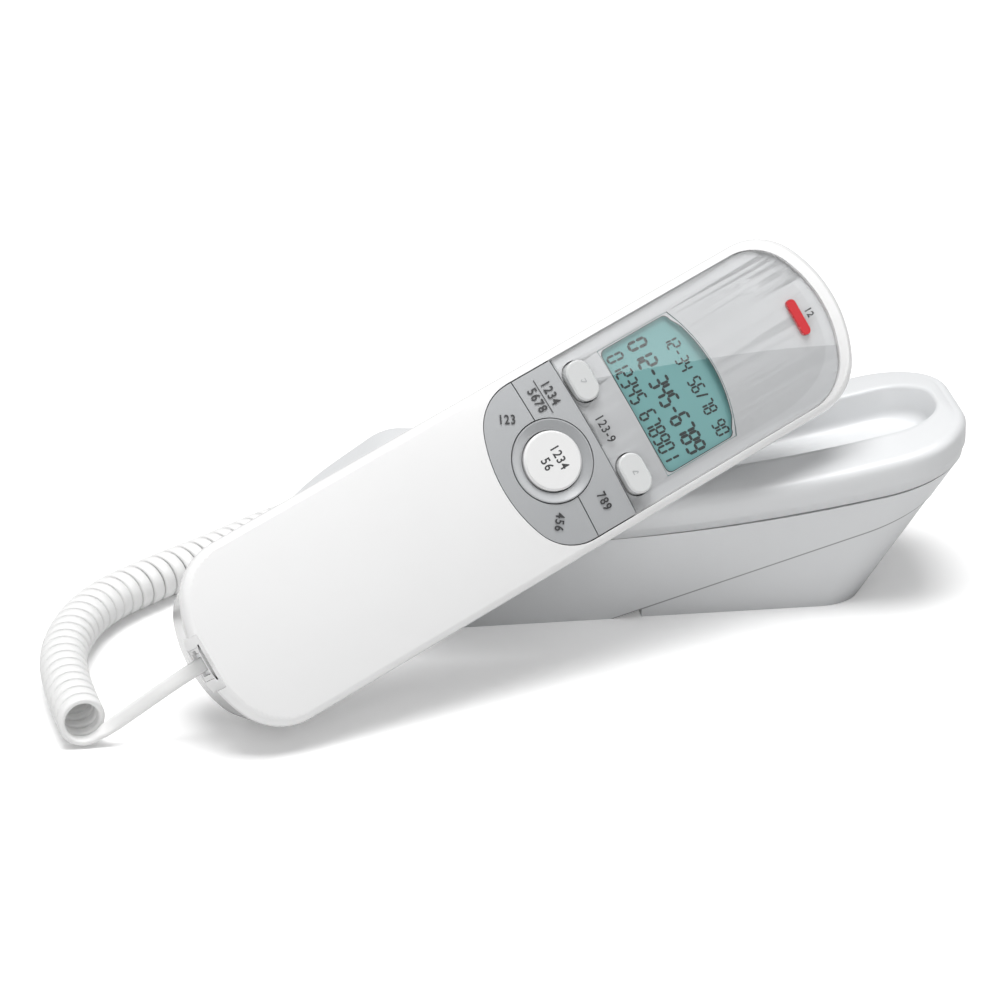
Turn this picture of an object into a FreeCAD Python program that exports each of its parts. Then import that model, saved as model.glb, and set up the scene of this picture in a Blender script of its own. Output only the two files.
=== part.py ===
import FreeCAD, Part
import math
import os
from FreeCAD import Vector, Matrix

os.makedirs("parts", exist_ok=True)

# Corded one-piece telephone with a caller display, lying as on a table:
# the base stands on its underside and the handset leans on the base's near rim.
# Millimetres. The origin is on the table, on the middle line of the base,
# half way between its two wall stud keyholes. +X runs to the earpiece end,
# -Y is the side that the handset leans on and +Z is up.

# Base sizes
RIM_LEFT, RIM_RIGHT = -90.0, 123.5
RIM_HALF_WIDTH = 35.0
RIM_CORNER = 25.0
RIM_LOW_X, RIM_LOW_Z = -3.5, 40.0
RIM_ARC_RADIUS = 500.0
RAMP_TOP_X = -49.0
RAMP_SLOPE = 0.685
COVER_DEPTH = 12.0
RIM_EDGE_ROUND = 3.0
RECESS_MARGIN = 5.5
RECESS_DEPTH = 9.0
FOOT_LEFT, FOOT_RIGHT = -84.0, 92.0
FOOT_HALF_WIDTH = 27.0
FOOT_CORNER = 15.0
WALL_TOP_Z = 60.0
WALL_LEFT_LEAN, WALL_RIGHT_LEAN, WALL_SIDE_LEAN = 0.10, 0.68, 0.18
BASE_WALL = 2.4
PIT_X, PIT_RADIUS, PIT_DEPTH = 82.0, 20.0, 3.0
PLUNGER_X, PLUNGER_HALF_X, PLUNGER_HALF_Y, PLUNGER_PROUD = 34.0, 5.0, 3.4, 4.0
RINGER_X, RINGER_Z = -26.0, 12.0
CORD_JACK_X, CORD_JACK_Z = -42.9, 9.0
LINE_JACK_X, LINE_JACK_Z = -8.0, 10.0
JACK_SIZE = 11.0
SCREW_SPOTS = ((-62.0, -15.0), (-62.0, 15.0), (66.0, -20.0), (66.0, 20.0))
BASE_BOARD_Z, BOARD_THICK = 16.0, 1.6
SOUNDER_X = -20.0
BOARD_POSTS = ((-32.0, -18.0), (-32.0, 18.0), (10.0, -18.0), (10.0, 18.0))
FOOT_SPOTS = ((-66.0, -16.0), (-66.0, 16.0), (2.0, -19.0), (2.0, 19.0))
FOOT_PAD_RADIUS, FOOT_PAD_THICK = 5.0, 1.0

# Wall bracket sizes: the wedge's seam starts at the hinge line and rises to the earpiece end
BRACKET_HINGE_X = 13.2
BRACKET_SLOPE = 0.335
STUD_SPACING = 101.6
KEYHOLE_HEAD_RADIUS = 4.6
KEYHOLE_SLOT_RADIUS = 2.3
KEYHOLE_SLOT = 7.0

# Handset sizes, in its own axes: x along it to the earpiece, z out of the display face
HANDSET_HALF_LENGTH = 113.5
HANDSET_HALF_WIDTH = 28.4
HANDSET_CORNER = 18.5
HANDSET_END_RADIUS = 42.0
WIDEST_Z = -5.0
SIDE_TAPER = 0.195
END_TAPER = 0.18
CROWN_RADIUS = 190.0
FACE_ROUND = 3.0
PARTING_Z = -11.5
SHELL_WALL = 2.2
FACE_WALL = 3.6
HANDLE_Z, MOUTH_Z, EAR_Z = -24.0, -29.5, -33.0
MOUTH_END_X, GRIP_LOW_X, GRIP_HIGH_X, EAR_END_X = -90.0, -70.0, 54.0, 74.0
EAR_CUP_X, EAR_CUP_RADIUS = 87.0, 18.5
MIC_X = -100.0
END_FACE_X = -110.9
DISPLAY_BOARD_Z, MAIN_BOARD_Z = -7.6, -18.2
DISPLAY_POST_X = (-14.0, 75.0)
PANEL_MAT_Z = -6.6
HANDSET_SCREW_X = (57.0, -72.0)

# Handset pose on the table and the rim: yaw, tilt of the face normal, roll
POSE_YAW, POSE_TILT, POSE_ROLL = 14.16, 30.48, 19.94
POSE_CENTRE = Vector(-16.5, -58.2, 62.1)

# Display face layout
PANEL_LOW_X, PANEL_HIGH_X = -10.1, 108.3
PANEL_INSET = 2.5
PANEL_LOW_CORNER, PANEL_LOW_RADIUS = 16.0, 40.0
KEY_LINE_X = 23.4
KEY_SPLIT_X = 9.4
KEY_GAP = 0.35
ROUND_KEY_X, ROUND_KEY_RADIUS, DISH_RADIUS = 7.9, 8.9, 12.4
LENS_THICK, MASK_THICK = 1.2, 0.6
OVAL_KEY_X = 28.2
OVAL_KEY_Y = (15.8, -15.2)
OVAL_KEY_LENGTH, OVAL_KEY_WIDTH = 12.6, 7.8
WINDOW_X0, WINDOW_X1, WINDOW_BOW = 37.8, 63.5, 4.4
WINDOW_HALF = 21.0
LAMP_X, LAMP_LENGTH, LAMP_WIDTH = 98.9, 11.6, 2.9
KEY_THICK = 2.0

# Keypad side layout
DIAL_COLUMNS = 3
DIAL_PITCH_X, DIAL_PITCH_Y = 11.5, 13.5
DIAL_TOP_X = 34.0
DIAL_KEY_X, DIAL_KEY_Y = 7.4, 9.6
DIAL_KEY_PROUD = 1.6
DIAL_NAMES = ("1", "2", "3", "4", "5", "6", "7", "8", "9", "star", "0", "hash")

# Cord sizes
CORD_WIRE = 2.9
COIL_RADIUS = 6.1
COIL_PITCH = 4.9
COIL_AXIS_Z = 7.65
COIL_SIDES, TAIL_SIDES = 4, 8
TAIL_LEAD = 7.0
COIL_START_ANGLE = -math.pi / 2
PLUG_WIDTH = 6.6
PLUG_PROUD = -1.0

# Routes of the cord, from the base's socket to the coil, and of the coil's axis
BASE_TAIL = [Vector(-42.9, 34.6, 9.0), Vector(-42.9, 43.5, 9.0), Vector(-42.6, 53.0, 5.2),
             Vector(-42.9, 63.9, 2.2), Vector(-46.5, 71.0, 1.55), Vector(-54.5, 74.5, 1.55),
             Vector(-62.7, 71.6, 1.55), Vector(-66.6, 62.37, 1.55)]
COIL_ROUTE = [Vector(x, y, COIL_AXIS_Z) for x, y in (
    (-62, 50), (-82, 39.5), (-101.5, 21.5), (-121, 6.5), (-142, -12.5), (-152.5, -40), (-153, -66), (-149, -92))]

X_AXIS, Y_AXIS, Z_AXIS = Vector(1, 0, 0), Vector(0, 1, 0), Vector(0, 0, 1)


def box(x0, x1, y0, y1, z0, z1):
    return Part.makeBox(x1 - x0, y1 - y0, z1 - z0, Vector(x0, y0, z0))


def cylinder(radius, x, y, z0, z1):
    return Part.makeCylinder(radius, z1 - z0, Vector(x, y, z0))


def pill(x, y, length_x, length_y, z0, z1):
    """Upright solid with a stadium outline."""
    radius = min(length_x, length_y) / 2
    reach_x = length_x / 2 - radius
    reach_y = length_y / 2 - radius
    body = cylinder(radius, x - reach_x, y - reach_y, z0, z1)
    body = body.fuse(cylinder(radius, x + reach_x, y + reach_y, z0, z1))
    if reach_x > 0:
        middle = box(x - reach_x, x + reach_x, y - radius, y + radius, z0, z1)
    else:
        middle = box(x - radius, x + radius, y - reach_y, y + reach_y, z0, z1)
    return body.fuse(middle).removeSplitter()


def round_edges(solid, radius, choose):
    """Round the edges that the choosing function accepts."""
    return solid.makeFillet(radius, [edge for edge in solid.Edges if choose(edge)])


def bevel_edges(solid, size, choose):
    """Bevel the edges that the choosing function accepts."""
    return solid.makeChamfer(size, [edge for edge in solid.Edges if choose(edge)])


def corner_path(points, share=0.45, radii=None):
    """Straight runs joined by tangent arcs, as a list of edges, with the arc radii."""
    edges = []
    found = []
    start = points[0]
    for index in range(1, len(points) - 1):
        corner = points[index]
        before = corner - points[index - 1]
        after = points[index + 1] - corner
        turn = before.getAngle(after)
        cut = share * min(before.Length, after.Length)
        radius = cut / math.tan(turn / 2)
        if radii is not None:
            radius = radii[index - 1]
            cut = radius * math.tan(turn / 2)
        into = Vector(before).normalize()
        out = Vector(after).normalize()
        first = corner - into * cut
        last = corner + out * cut
        inward = (out - into).normalize()
        middle = corner + inward * (radius / math.cos(turn / 2) - radius)
        edges.append(Part.LineSegment(start, first).toShape())
        edges.append(Part.Arc(first, middle, last).toShape())
        found.append(radius)
        start = last
    edges.append(Part.LineSegment(start, points[-1]).toShape())
    return edges, found


# Base forms

def base_outline(left, right, half_width, corner, z):
    """Rectangle with round corners, as a wire at one height."""
    edges = []
    diagonal = corner * math.sqrt(0.5)
    inner_left, inner_right = left + corner, right - corner
    inner = half_width - corner
    edges.append(Part.LineSegment(Vector(inner_left, -half_width, z), Vector(inner_right, -half_width, z)))
    edges.append(Part.Arc(Vector(inner_right, -half_width, z),
                          Vector(inner_right + diagonal, -inner - diagonal, z),
                          Vector(right, -inner, z)))
    edges.append(Part.LineSegment(Vector(right, -inner, z), Vector(right, inner, z)))
    edges.append(Part.Arc(Vector(right, inner, z),
                          Vector(inner_right + diagonal, inner + diagonal, z),
                          Vector(inner_right, half_width, z)))
    edges.append(Part.LineSegment(Vector(inner_right, half_width, z), Vector(inner_left, half_width, z)))
    edges.append(Part.Arc(Vector(inner_left, half_width, z),
                          Vector(inner_left - diagonal, inner + diagonal, z),
                          Vector(left, inner, z)))
    edges.append(Part.LineSegment(Vector(left, inner, z), Vector(left, -inner, z)))
    edges.append(Part.Arc(Vector(left, -inner, z),
                          Vector(inner_left - diagonal, -inner - diagonal, z),
                          Vector(inner_left, -half_width, z)))
    return Part.Wire([edge.toShape() for edge in edges])


def rim_prism(inset):
    outline = base_outline(RIM_LEFT + inset, RIM_RIGHT - inset, RIM_HALF_WIDTH - inset,
                           RIM_CORNER - inset, -5.0)
    return Part.Face(outline).extrude(Vector(0, 0, 90))


def rim_surface_z(x, drop=0.0):
    """Height of the saddle arc, lowered by drop."""
    centre_z = RIM_LOW_Z + RIM_ARC_RADIUS - drop
    return centre_z - math.sqrt(RIM_ARC_RADIUS ** 2 - (x - RIM_LOW_X) ** 2)


def top_height(x):
    """Height of the rim's edge: the ramp at the mouthpiece end, the saddle arc beyond it."""
    if x < RAMP_TOP_X:
        return rim_surface_z(RAMP_TOP_X) - RAMP_SLOPE * (RAMP_TOP_X - x)
    return rim_surface_z(x)


def side_profile(drop):
    """Everything below the ramp and the saddle of the rim, lowered by drop."""
    ramp_end_x, middle_x, far_x, deep = -130.0, 50.0, 150.0, -60.0

    def on_top(x):
        return Vector(x, -60, top_height(x) - drop)

    edges = [Part.LineSegment(on_top(ramp_end_x), on_top(RAMP_TOP_X)),
             Part.Arc(on_top(RAMP_TOP_X), on_top(middle_x), on_top(far_x)),
             Part.LineSegment(on_top(far_x), Vector(far_x, -60, deep)),
             Part.LineSegment(Vector(far_x, -60, deep), Vector(ramp_end_x, -60, deep)),
             Part.LineSegment(Vector(ramp_end_x, -60, deep), on_top(ramp_end_x))]
    return Part.Face(Part.Wire([edge.toShape() for edge in edges])).extrude(Vector(0, 120, 0))


def base_loft(inset):
    """The tapering body below the rim band, from the table up."""
    low = base_outline(FOOT_LEFT + inset, FOOT_RIGHT - inset, FOOT_HALF_WIDTH - inset,
                       FOOT_CORNER - inset, 0.0)
    high = base_outline(FOOT_LEFT - WALL_LEFT_LEAN * WALL_TOP_Z + inset,
                        FOOT_RIGHT + WALL_RIGHT_LEAN * WALL_TOP_Z - inset,
                        FOOT_HALF_WIDTH + WALL_SIDE_LEAN * WALL_TOP_Z - inset,
                        RIM_CORNER + 2.0 - inset, WALL_TOP_Z)
    return Part.makeLoft([low, high], True, True)


def above_bracket(lift):
    """Everything above the sloping seam of the wall bracket, raised by lift."""
    block = box(-200, 200, -60, 60, 0, 120)
    block.rotate(Vector(0, 0, 0), Y_AXIS, -math.degrees(math.atan(BRACKET_SLOPE)))
    block.translate(Vector(BRACKET_HINGE_X, 0, lift))
    return block


def keyhole(x, z0, z1):
    """Stud keyhole: a round entry with a slot on its +X side."""
    hole = cylinder(KEYHOLE_HEAD_RADIUS, x - KEYHOLE_SLOT, 0, z0, z1)
    return hole.fuse(pill(x - KEYHOLE_SLOT / 2, 0, KEYHOLE_SLOT + 2 * KEYHOLE_SLOT_RADIUS,
                          2 * KEYHOLE_SLOT_RADIUS, z0, z1))


def far_wall_y(z):
    return FOOT_HALF_WIDTH + WALL_SIDE_LEAN * z


def make_cradle_cover():
    """Rim band and the handset's resting recess, one moulding."""
    cover = rim_prism(0).common(side_profile(0)).common(box(-200, 200, -60, 60, 0, 120))

    def on_rim(edge):
        ends = [vertex.Point for vertex in edge.Vertexes]
        crosses = all(abs(point.y) > RIM_HALF_WIDTH - 0.1 for point in ends) and ends[0].x == ends[-1].x
        high = all(abs(point.z - top_height(point.x)) < 0.1 for point in ends)
        return high and not (crosses and abs(ends[0].x - RAMP_TOP_X) < 0.1)

    cover = round_edges(cover, RIM_EDGE_ROUND, on_rim)
    cover = cover.cut(side_profile(COVER_DEPTH))
    recess = rim_prism(RECESS_MARGIN).cut(side_profile(RECESS_DEPTH))
    cover = cover.cut(recess)
    pit_top = rim_surface_z(PIT_X, RECESS_DEPTH)
    pit_boss = cylinder(PIT_RADIUS + 2.0, PIT_X, 0, pit_top - PIT_DEPTH - 2.0, pit_top - 1.0)
    cover = cover.fuse(pit_boss)
    cover = cover.cut(cylinder(PIT_RADIUS, PIT_X, 0, pit_top - PIT_DEPTH, pit_top + 12))
    cover = cover.cut(box(PLUNGER_X - PLUNGER_HALF_X - 0.4, PLUNGER_X + PLUNGER_HALF_X + 0.4,
                          -PLUNGER_HALF_Y - 0.4, PLUNGER_HALF_Y + 0.4, 20, 60))
    for x, y in SCREW_SPOTS:
        seat = top_height(x) - COVER_DEPTH
        cover = cover.cut(cylinder(1.5, x, y, seat - 4, seat + 1.6))
    return cover


def make_base_housing():
    """Lower tub of the base, open at the top, with its bosses and wall openings."""
    outer = base_loft(0).common(side_profile(COVER_DEPTH)).common(above_bracket(0))
    outer = outer.common(box(-200, 200, -60, 60, 0, 120))
    hollow = base_loft(BASE_WALL).common(above_bracket(BASE_WALL)).common(
        box(-200, 200, -60, 60, BASE_WALL, 120))
    tub = outer.cut(hollow)
    for x, y in SCREW_SPOTS:
        floor = max(0.0, BRACKET_SLOPE * (x - BRACKET_HINGE_X))
        top = top_height(x) - COVER_DEPTH
        boss = cylinder(3.4, x, y, floor, top + 2).common(outer)
        tub = tub.fuse(boss).cut(cylinder(1.5, x, y, floor - 3, top + 3))
        tub = tub.cut(cylinder(2.9, x, y, floor - 8, floor + 3.2))
    for x, y in BOARD_POSTS:
        tub = tub.fuse(cylinder(2.2, x, y, 1.0, BASE_BOARD_Z))
    for x, y in FOOT_SPOTS:
        tub = tub.cut(cylinder(FOOT_PAD_RADIUS + 0.1, x, y, -1, FOOT_PAD_THICK))
    tub = tub.cut(keyhole(-STUD_SPACING / 2, -1, BASE_WALL + 1))
    for x, z in ((CORD_JACK_X, CORD_JACK_Z), (LINE_JACK_X, LINE_JACK_Z)):
        tub = tub.cut(box(x - JACK_SIZE / 2 - 1, x + JACK_SIZE / 2 + 1, 20, 40,
                          z - JACK_SIZE / 2, z + JACK_SIZE / 2))
    tub = tub.cut(box(RINGER_X - 5, RINGER_X + 5, 20, 40, RINGER_Z - 2, RINGER_Z + 2))
    return tub


def make_wall_bracket():
    """Wedge foot clipped under the base, turned end for end to hang it on a wall."""
    under = box(-200, 200, -60, 60, -120, 0)
    under.rotate(Vector(0, 0, 0), Y_AXIS, -math.degrees(math.atan(BRACKET_SLOPE)))
    under.translate(Vector(BRACKET_HINGE_X, 0, 0))
    ground = box(-200, 200, -60, 60, 0, 120)
    wedge = base_loft(0.3).common(under).common(ground).common(box(22, 200, -60, 60, 0, 120))
    inside = base_loft(BASE_WALL + 0.3).common(box(26, 200, -60, 60, BASE_WALL, 120))
    wedge = wedge.cut(inside)
    for x in (44.0, 72.0):
        rib = box(x, x + 1.6, -25, 25, BASE_WALL, 40).common(base_loft(BASE_WALL)).common(under)
        rib = rib.cut(box(x - 1, x + 3, -9, 9, BASE_WALL, 40))
        wedge = wedge.fuse(rib)
    return wedge.cut(keyhole(STUD_SPACING / 2, -1, BASE_WALL + 1))


def make_jack(x, z):
    """Modular socket set in the far wall, its mouth facing +Y."""
    wall_y = far_wall_y(z)
    body = box(x - JACK_SIZE / 2 - 0.8, x + JACK_SIZE / 2 + 0.8, wall_y - 15, wall_y - 1.2,
               z - JACK_SIZE / 2 + 0.2, z + JACK_SIZE / 2 - 0.2)
    body = body.cut(box(x - 3.9, x + 3.9, wall_y - 12.5, wall_y, z - 3.4, z + 3.4))
    return body.cut(box(x - 1.8, x + 1.8, wall_y - 12.5, wall_y, z - 3.4, z + 4.4))


# Handset forms

def handset_placement():
    """Turns handset axes into the rest pose beside the base."""
    yaw, tilt, roll = (math.radians(angle) for angle in (POSE_YAW, POSE_TILT, POSE_ROLL))
    normal = Vector(math.sin(yaw) * math.cos(tilt), -math.cos(yaw) * math.cos(tilt), math.sin(tilt))
    level = Vector(math.cos(yaw), math.sin(yaw), 0)
    rise = normal.cross(level)
    along = level * math.cos(roll) + rise * math.sin(roll)
    across = normal.cross(along)
    return Matrix(along.x, across.x, normal.x, POSE_CENTRE.x,
                  along.y, across.y, normal.y, POSE_CENTRE.y,
                  along.z, across.z, normal.z, POSE_CENTRE.z,
                  0, 0, 0, 1)


HANDSET = handset_placement()


def pod_wire(low_x, high_x, half_width, low_arcs, high_arcs, z):
    """Long outline with a bowed end each way: corner arc, end arc, corner arc."""
    def end_points(tip_x, side, arcs):
        corner, bow = arcs
        reach = math.sqrt((bow - corner) ** 2 - (half_width - corner) ** 2)
        bow_x = tip_x - side * bow
        corner_x = bow_x + side * reach
        unit_x, unit_y = side * reach / (bow - corner), (half_width - corner) / (bow - corner)
        join = Vector(bow_x + bow * unit_x, bow * unit_y, z)
        half = Vector(unit_x, 1 + unit_y, 0).normalize()
        knee = Vector(corner_x + corner * half.x, half_width - corner + corner * half.y, z)
        return Vector(corner_x, half_width, z), knee, join

    def mirrored(point):
        return Vector(point.x, -point.y, point.z)

    side_high, knee_high, join_high = end_points(high_x, 1, high_arcs)
    side_low, knee_low, join_low = end_points(low_x, -1, low_arcs)
    edges = [Part.LineSegment(side_low, side_high),
             Part.Arc(side_high, knee_high, join_high),
             Part.Arc(join_high, Vector(high_x, 0, z), mirrored(join_high)),
             Part.Arc(mirrored(join_high), mirrored(knee_high), mirrored(side_high)),
             Part.LineSegment(mirrored(side_high), mirrored(side_low)),
             Part.Arc(mirrored(side_low), mirrored(knee_low), mirrored(join_low)),
             Part.Arc(mirrored(join_low), Vector(low_x, 0, z), join_low),
             Part.Arc(join_low, knee_low, side_low)]
    return Part.Wire([edge.toShape() for edge in edges])


def handset_wire(inset, z):
    """The handset's outline at one depth, drawn in by the taper towards the keypad side."""
    below = max(0.0, WIDEST_Z - z)
    shrink = inset + SIDE_TAPER * below
    length_shrink = inset + END_TAPER * below
    arcs = (HANDSET_CORNER - inset * 0.9 - 0.1 * below, HANDSET_END_RADIUS - inset)
    return pod_wire(-HANDSET_HALF_LENGTH + length_shrink, HANDSET_HALF_LENGTH - length_shrink,
                    HANDSET_HALF_WIDTH - shrink, arcs, arcs, z)


def crown(depth):
    """Round bar whose top is the crowned display face, lowered by depth."""
    radius = CROWN_RADIUS - depth
    return Part.makeCylinder(radius, 300, Vector(-150, 0, -CROWN_RADIUS), X_AXIS)


def keypad_side(lift):
    """Everything above the handset's hollow grip and its two deeper ends."""
    outline = [Vector(-150, -50, MOUTH_Z + lift), Vector(MOUTH_END_X, -50, MOUTH_Z + lift),
               Vector(GRIP_LOW_X, -50, HANDLE_Z + lift), Vector(GRIP_HIGH_X, -50, HANDLE_Z + lift),
               Vector(EAR_END_X, -50, EAR_Z + lift), Vector(150, -50, EAR_Z + lift)]
    edges, _ = corner_path(outline, radii=[26.0, 26.0, 22.0, 22.0])
    roof = 30.0
    edges.append(Part.LineSegment(outline[-1], Vector(150, -50, roof)).toShape())
    edges.append(Part.LineSegment(Vector(150, -50, roof), Vector(-150, -50, roof)).toShape())
    edges.append(Part.LineSegment(Vector(-150, -50, roof), outline[0]).toShape())
    return Part.Face(Part.Wire(edges)).extrude(Vector(0, 100, 0))


def handset_body(inset, face_inset):
    low_z, high_z = -42.0, 4.0
    wires = [handset_wire(inset, low_z), handset_wire(inset, WIDEST_Z), handset_wire(inset, high_z)]
    body = Part.makeLoft(wires, True, True)
    return body.common(crown(face_inset)).common(keypad_side(inset))


def panel_prism(inset, x0=-200.0, x1=200.0):
    """Upright solid of the grey face panel's outline between two cross lines."""
    arcs_low = (PANEL_LOW_CORNER - inset, PANEL_LOW_RADIUS - inset)
    arcs_high = (HANDSET_CORNER - PANEL_INSET - inset, HANDSET_END_RADIUS - PANEL_INSET - inset)
    outline = pod_wire(PANEL_LOW_X + inset, PANEL_HIGH_X - inset,
                       HANDSET_HALF_WIDTH - PANEL_INSET - inset, arcs_low, arcs_high, -30)
    return Part.Face(outline).extrude(Vector(0, 0, 40)).common(box(x0, x1, -60, 60, -30, 10))


def face_slab(top_depth, bottom_depth):
    """Sheet that follows the crowned face between two depths."""
    sheet = crown(top_depth).cut(crown(bottom_depth))
    return sheet.common(box(-150, 150, -40, 40, -20, 5))


def window_prism(inset):
    """Display window: square on three sides and bowed towards the earpiece."""
    x0, x1, half = WINDOW_X0 + inset, WINDOW_X1 - inset, WINDOW_HALF - inset
    edges = [Part.LineSegment(Vector(x1, -half, -20), Vector(x0, -half, -20)),
             Part.LineSegment(Vector(x0, -half, -20), Vector(x0, half, -20)),
             Part.LineSegment(Vector(x0, half, -20), Vector(x1, half, -20)),
             Part.Arc(Vector(x1, half, -20), Vector(x1 + WINDOW_BOW, 0, -20), Vector(x1, -half, -20))]
    return Part.Face(Part.Wire([edge.toShape() for edge in edges])).extrude(Vector(0, 0, 30))


def end_notch():
    """Small recess in the tip of the mouthpiece end where the cord plugs in."""
    return box(-115, END_FACE_X, -8.5, 8.5, -23, 6)


def socket_hole():
    return box(-115, -96, -5.0, 5.0, PARTING_Z - 5.0, PARTING_Z + 5.0)


def make_outer_shell():
    """Display side of the handset."""
    shell = handset_body(0, 0).common(box(-200, 200, -60, 60, PARTING_Z, 20))
    shell = round_edges(shell, FACE_ROUND, lambda edge: edge.BoundBox.ZMin > WIDEST_Z + 0.2)
    shell = shell.cut(handset_body(SHELL_WALL, FACE_WALL))
    lens_bed = panel_prism(0, KEY_LINE_X, 200).cut(crown(LENS_THICK + MASK_THICK))
    shell = shell.cut(lens_bed)
    shell = shell.cut(panel_prism(0, -200, KEY_LINE_X).common(box(-50, 60, -60, 60, -9, 10)))
    shell = shell.cut(box(WINDOW_X0 - 2, WINDOW_X1 + WINDOW_BOW + 2,
                          -WINDOW_HALF - 2, WINDOW_HALF + 2, -15, 10))
    for y in OVAL_KEY_Y:
        shell = shell.cut(pill(OVAL_KEY_X, y, OVAL_KEY_WIDTH + 1.2, OVAL_KEY_LENGTH + 1.2, -20, 10))
    shell = shell.cut(pill(LAMP_X, 0, LAMP_WIDTH + 0.2, LAMP_LENGTH + 0.2, -20, 10))
    for x in DISPLAY_POST_X:
        for y in (-17.0, 17.0):
            shell = shell.fuse(cylinder(2.0, x, y, DISPLAY_BOARD_Z, -3.0))
    return shell.cut(end_notch()).cut(socket_hole())


def dial_spots():
    """Centres of the twelve dial keys, row by row from the earpiece down."""
    for number in range(12):
        row, column = divmod(number, DIAL_COLUMNS)
        yield DIAL_TOP_X - row * DIAL_PITCH_X, (1 - column) * DIAL_PITCH_Y


def extra_spots():
    """Redial and mute keys in the row below the dial keys."""
    x = DIAL_TOP_X - 4 * DIAL_PITCH_X - 1.5
    return ((x, DIAL_PITCH_Y), (x, -DIAL_PITCH_Y))


def make_inner_shell():
    """Keypad side of the handset with the earpiece dish and the key openings."""
    shell = handset_body(0, 0).common(box(-200, 200, -60, 60, -60, PARTING_Z))
    shell = shell.cut(handset_body(SHELL_WALL, FACE_WALL))
    shell = shell.fuse(cylinder(EAR_CUP_RADIUS, EAR_CUP_X, 0, EAR_Z + 0.5, EAR_Z + 4.6))
    dish = Part.makeSphere(60.0, Vector(EAR_CUP_X, 0, EAR_Z - 60.0 + 2.6))
    shell = shell.cut(dish)
    for x in (47.0, -57.0):
        for y in (-19.0, 19.0):
            shell = shell.fuse(cylinder(2.0, x, y, HANDLE_Z + 1, MAIN_BOARD_Z))
    for ring, count in ((0.0, 1), (5.0, 6)):
        for step in range(count):
            angle = 2 * math.pi * step / count
            shell = shell.cut(cylinder(1.1, EAR_CUP_X + ring * math.cos(angle),
                                       ring * math.sin(angle), EAR_Z - 2, EAR_Z + 6))
    shell = shell.cut(cylinder(1.2, MIC_X, 0, MOUTH_Z - 2, MOUTH_Z + 6))
    for x, y in list(dial_spots()) + list(extra_spots()):
        shell = shell.cut(box(x - DIAL_KEY_X / 2 - KEY_GAP, x + DIAL_KEY_X / 2 + KEY_GAP,
                              y - DIAL_KEY_Y / 2 - KEY_GAP, y + DIAL_KEY_Y / 2 + KEY_GAP,
                              HANDLE_Z - 3, HANDLE_Z + SHELL_WALL + 1))
    for x in HANDSET_SCREW_X:
        shell = shell.fuse(cylinder(3.2, x, 0, HANDLE_Z - 1, PARTING_Z - 0.2).common(handset_body(1.0, 1.0)))
        shell = shell.cut(cylinder(2.7, x, 0, -40, HANDLE_Z + 2.4)).cut(cylinder(1.4, x, 0, -40, -10))
    return shell.cut(end_notch()).cut(socket_hole())


def make_dial_key(x, y):
    """Domed key cap with a flange inside the shell."""
    top = HANDLE_Z + SHELL_WALL + 0.4
    cap = box(x - DIAL_KEY_X / 2, x + DIAL_KEY_X / 2, y - DIAL_KEY_Y / 2, y + DIAL_KEY_Y / 2,
              HANDLE_Z - DIAL_KEY_PROUD, top)
    cap = bevel_edges(cap, 0.7, lambda edge: edge.BoundBox.ZMax < HANDLE_Z)
    flange = box(x - DIAL_KEY_X / 2 - 1.0, x + DIAL_KEY_X / 2 + 1.0,
                 y - DIAL_KEY_Y / 2 - 1.0, y + DIAL_KEY_Y / 2 + 1.0, top, top + 0.8)
    return cap.fuse(flange)


def make_rocker(x0, x1):
    """One rocking segment of the key ring round the middle key."""
    plate = panel_prism(KEY_GAP, x0, x1).common(face_slab(0.2, KEY_THICK))
    plate = plate.cut(cylinder(DISH_RADIUS + KEY_GAP, ROUND_KEY_X, 0, -20, 5))
    return plate


def make_key_frame():
    """Fixed dished ring between the round key and the rocking segments."""
    ring = cylinder(DISH_RADIUS, ROUND_KEY_X, 0, PANEL_MAT_Z, -0.2)
    ring = ring.fuse(box(PANEL_LOW_X + 2, KEY_LINE_X - 2, -1.2, 1.2, PANEL_MAT_Z, -2.3))
    ring = ring.cut(Part.makeSphere(34.0, Vector(ROUND_KEY_X, 0, 34.0 - 2.4)))
    return ring.cut(cylinder(ROUND_KEY_RADIUS + KEY_GAP, ROUND_KEY_X, 0, -20, 5))


def make_round_key():
    key = cylinder(ROUND_KEY_RADIUS, ROUND_KEY_X, 0, -4.6, 0.4)
    return bevel_edges(key, 0.6, lambda edge: edge.BoundBox.ZMin > 0.3)


def make_oval_key(y):
    key = pill(OVAL_KEY_X, y, OVAL_KEY_WIDTH, OVAL_KEY_LENGTH, -5.2, 1.0)
    return bevel_edges(key, 0.5, lambda edge: edge.BoundBox.ZMin > 0.9)


def make_lens():
    lens = panel_prism(KEY_GAP, KEY_LINE_X + KEY_GAP, 200).common(face_slab(0, LENS_THICK))
    return cut_panel_holes(lens)


def make_mask():
    mask = panel_prism(KEY_GAP, KEY_LINE_X + KEY_GAP, 200)
    mask = mask.common(face_slab(LENS_THICK, LENS_THICK + MASK_THICK))
    return cut_panel_holes(mask).cut(window_prism(0))


def cut_panel_holes(panel):
    for y in OVAL_KEY_Y:
        panel = panel.cut(pill(OVAL_KEY_X, y, OVAL_KEY_WIDTH + 2 * KEY_GAP,
                               OVAL_KEY_LENGTH + 2 * KEY_GAP, -20, 10))
    return panel.cut(pill(LAMP_X, 0, LAMP_WIDTH + 0.2, LAMP_LENGTH + 0.2, -20, 10))


def make_board(x0, x1, half, z):
    """Circuit board with cut corners."""
    board = box(x0, x1, -half, half, z, z + BOARD_THICK)
    return bevel_edges(board, 3.0, lambda edge: edge.BoundBox.ZLength > 1)


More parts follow.
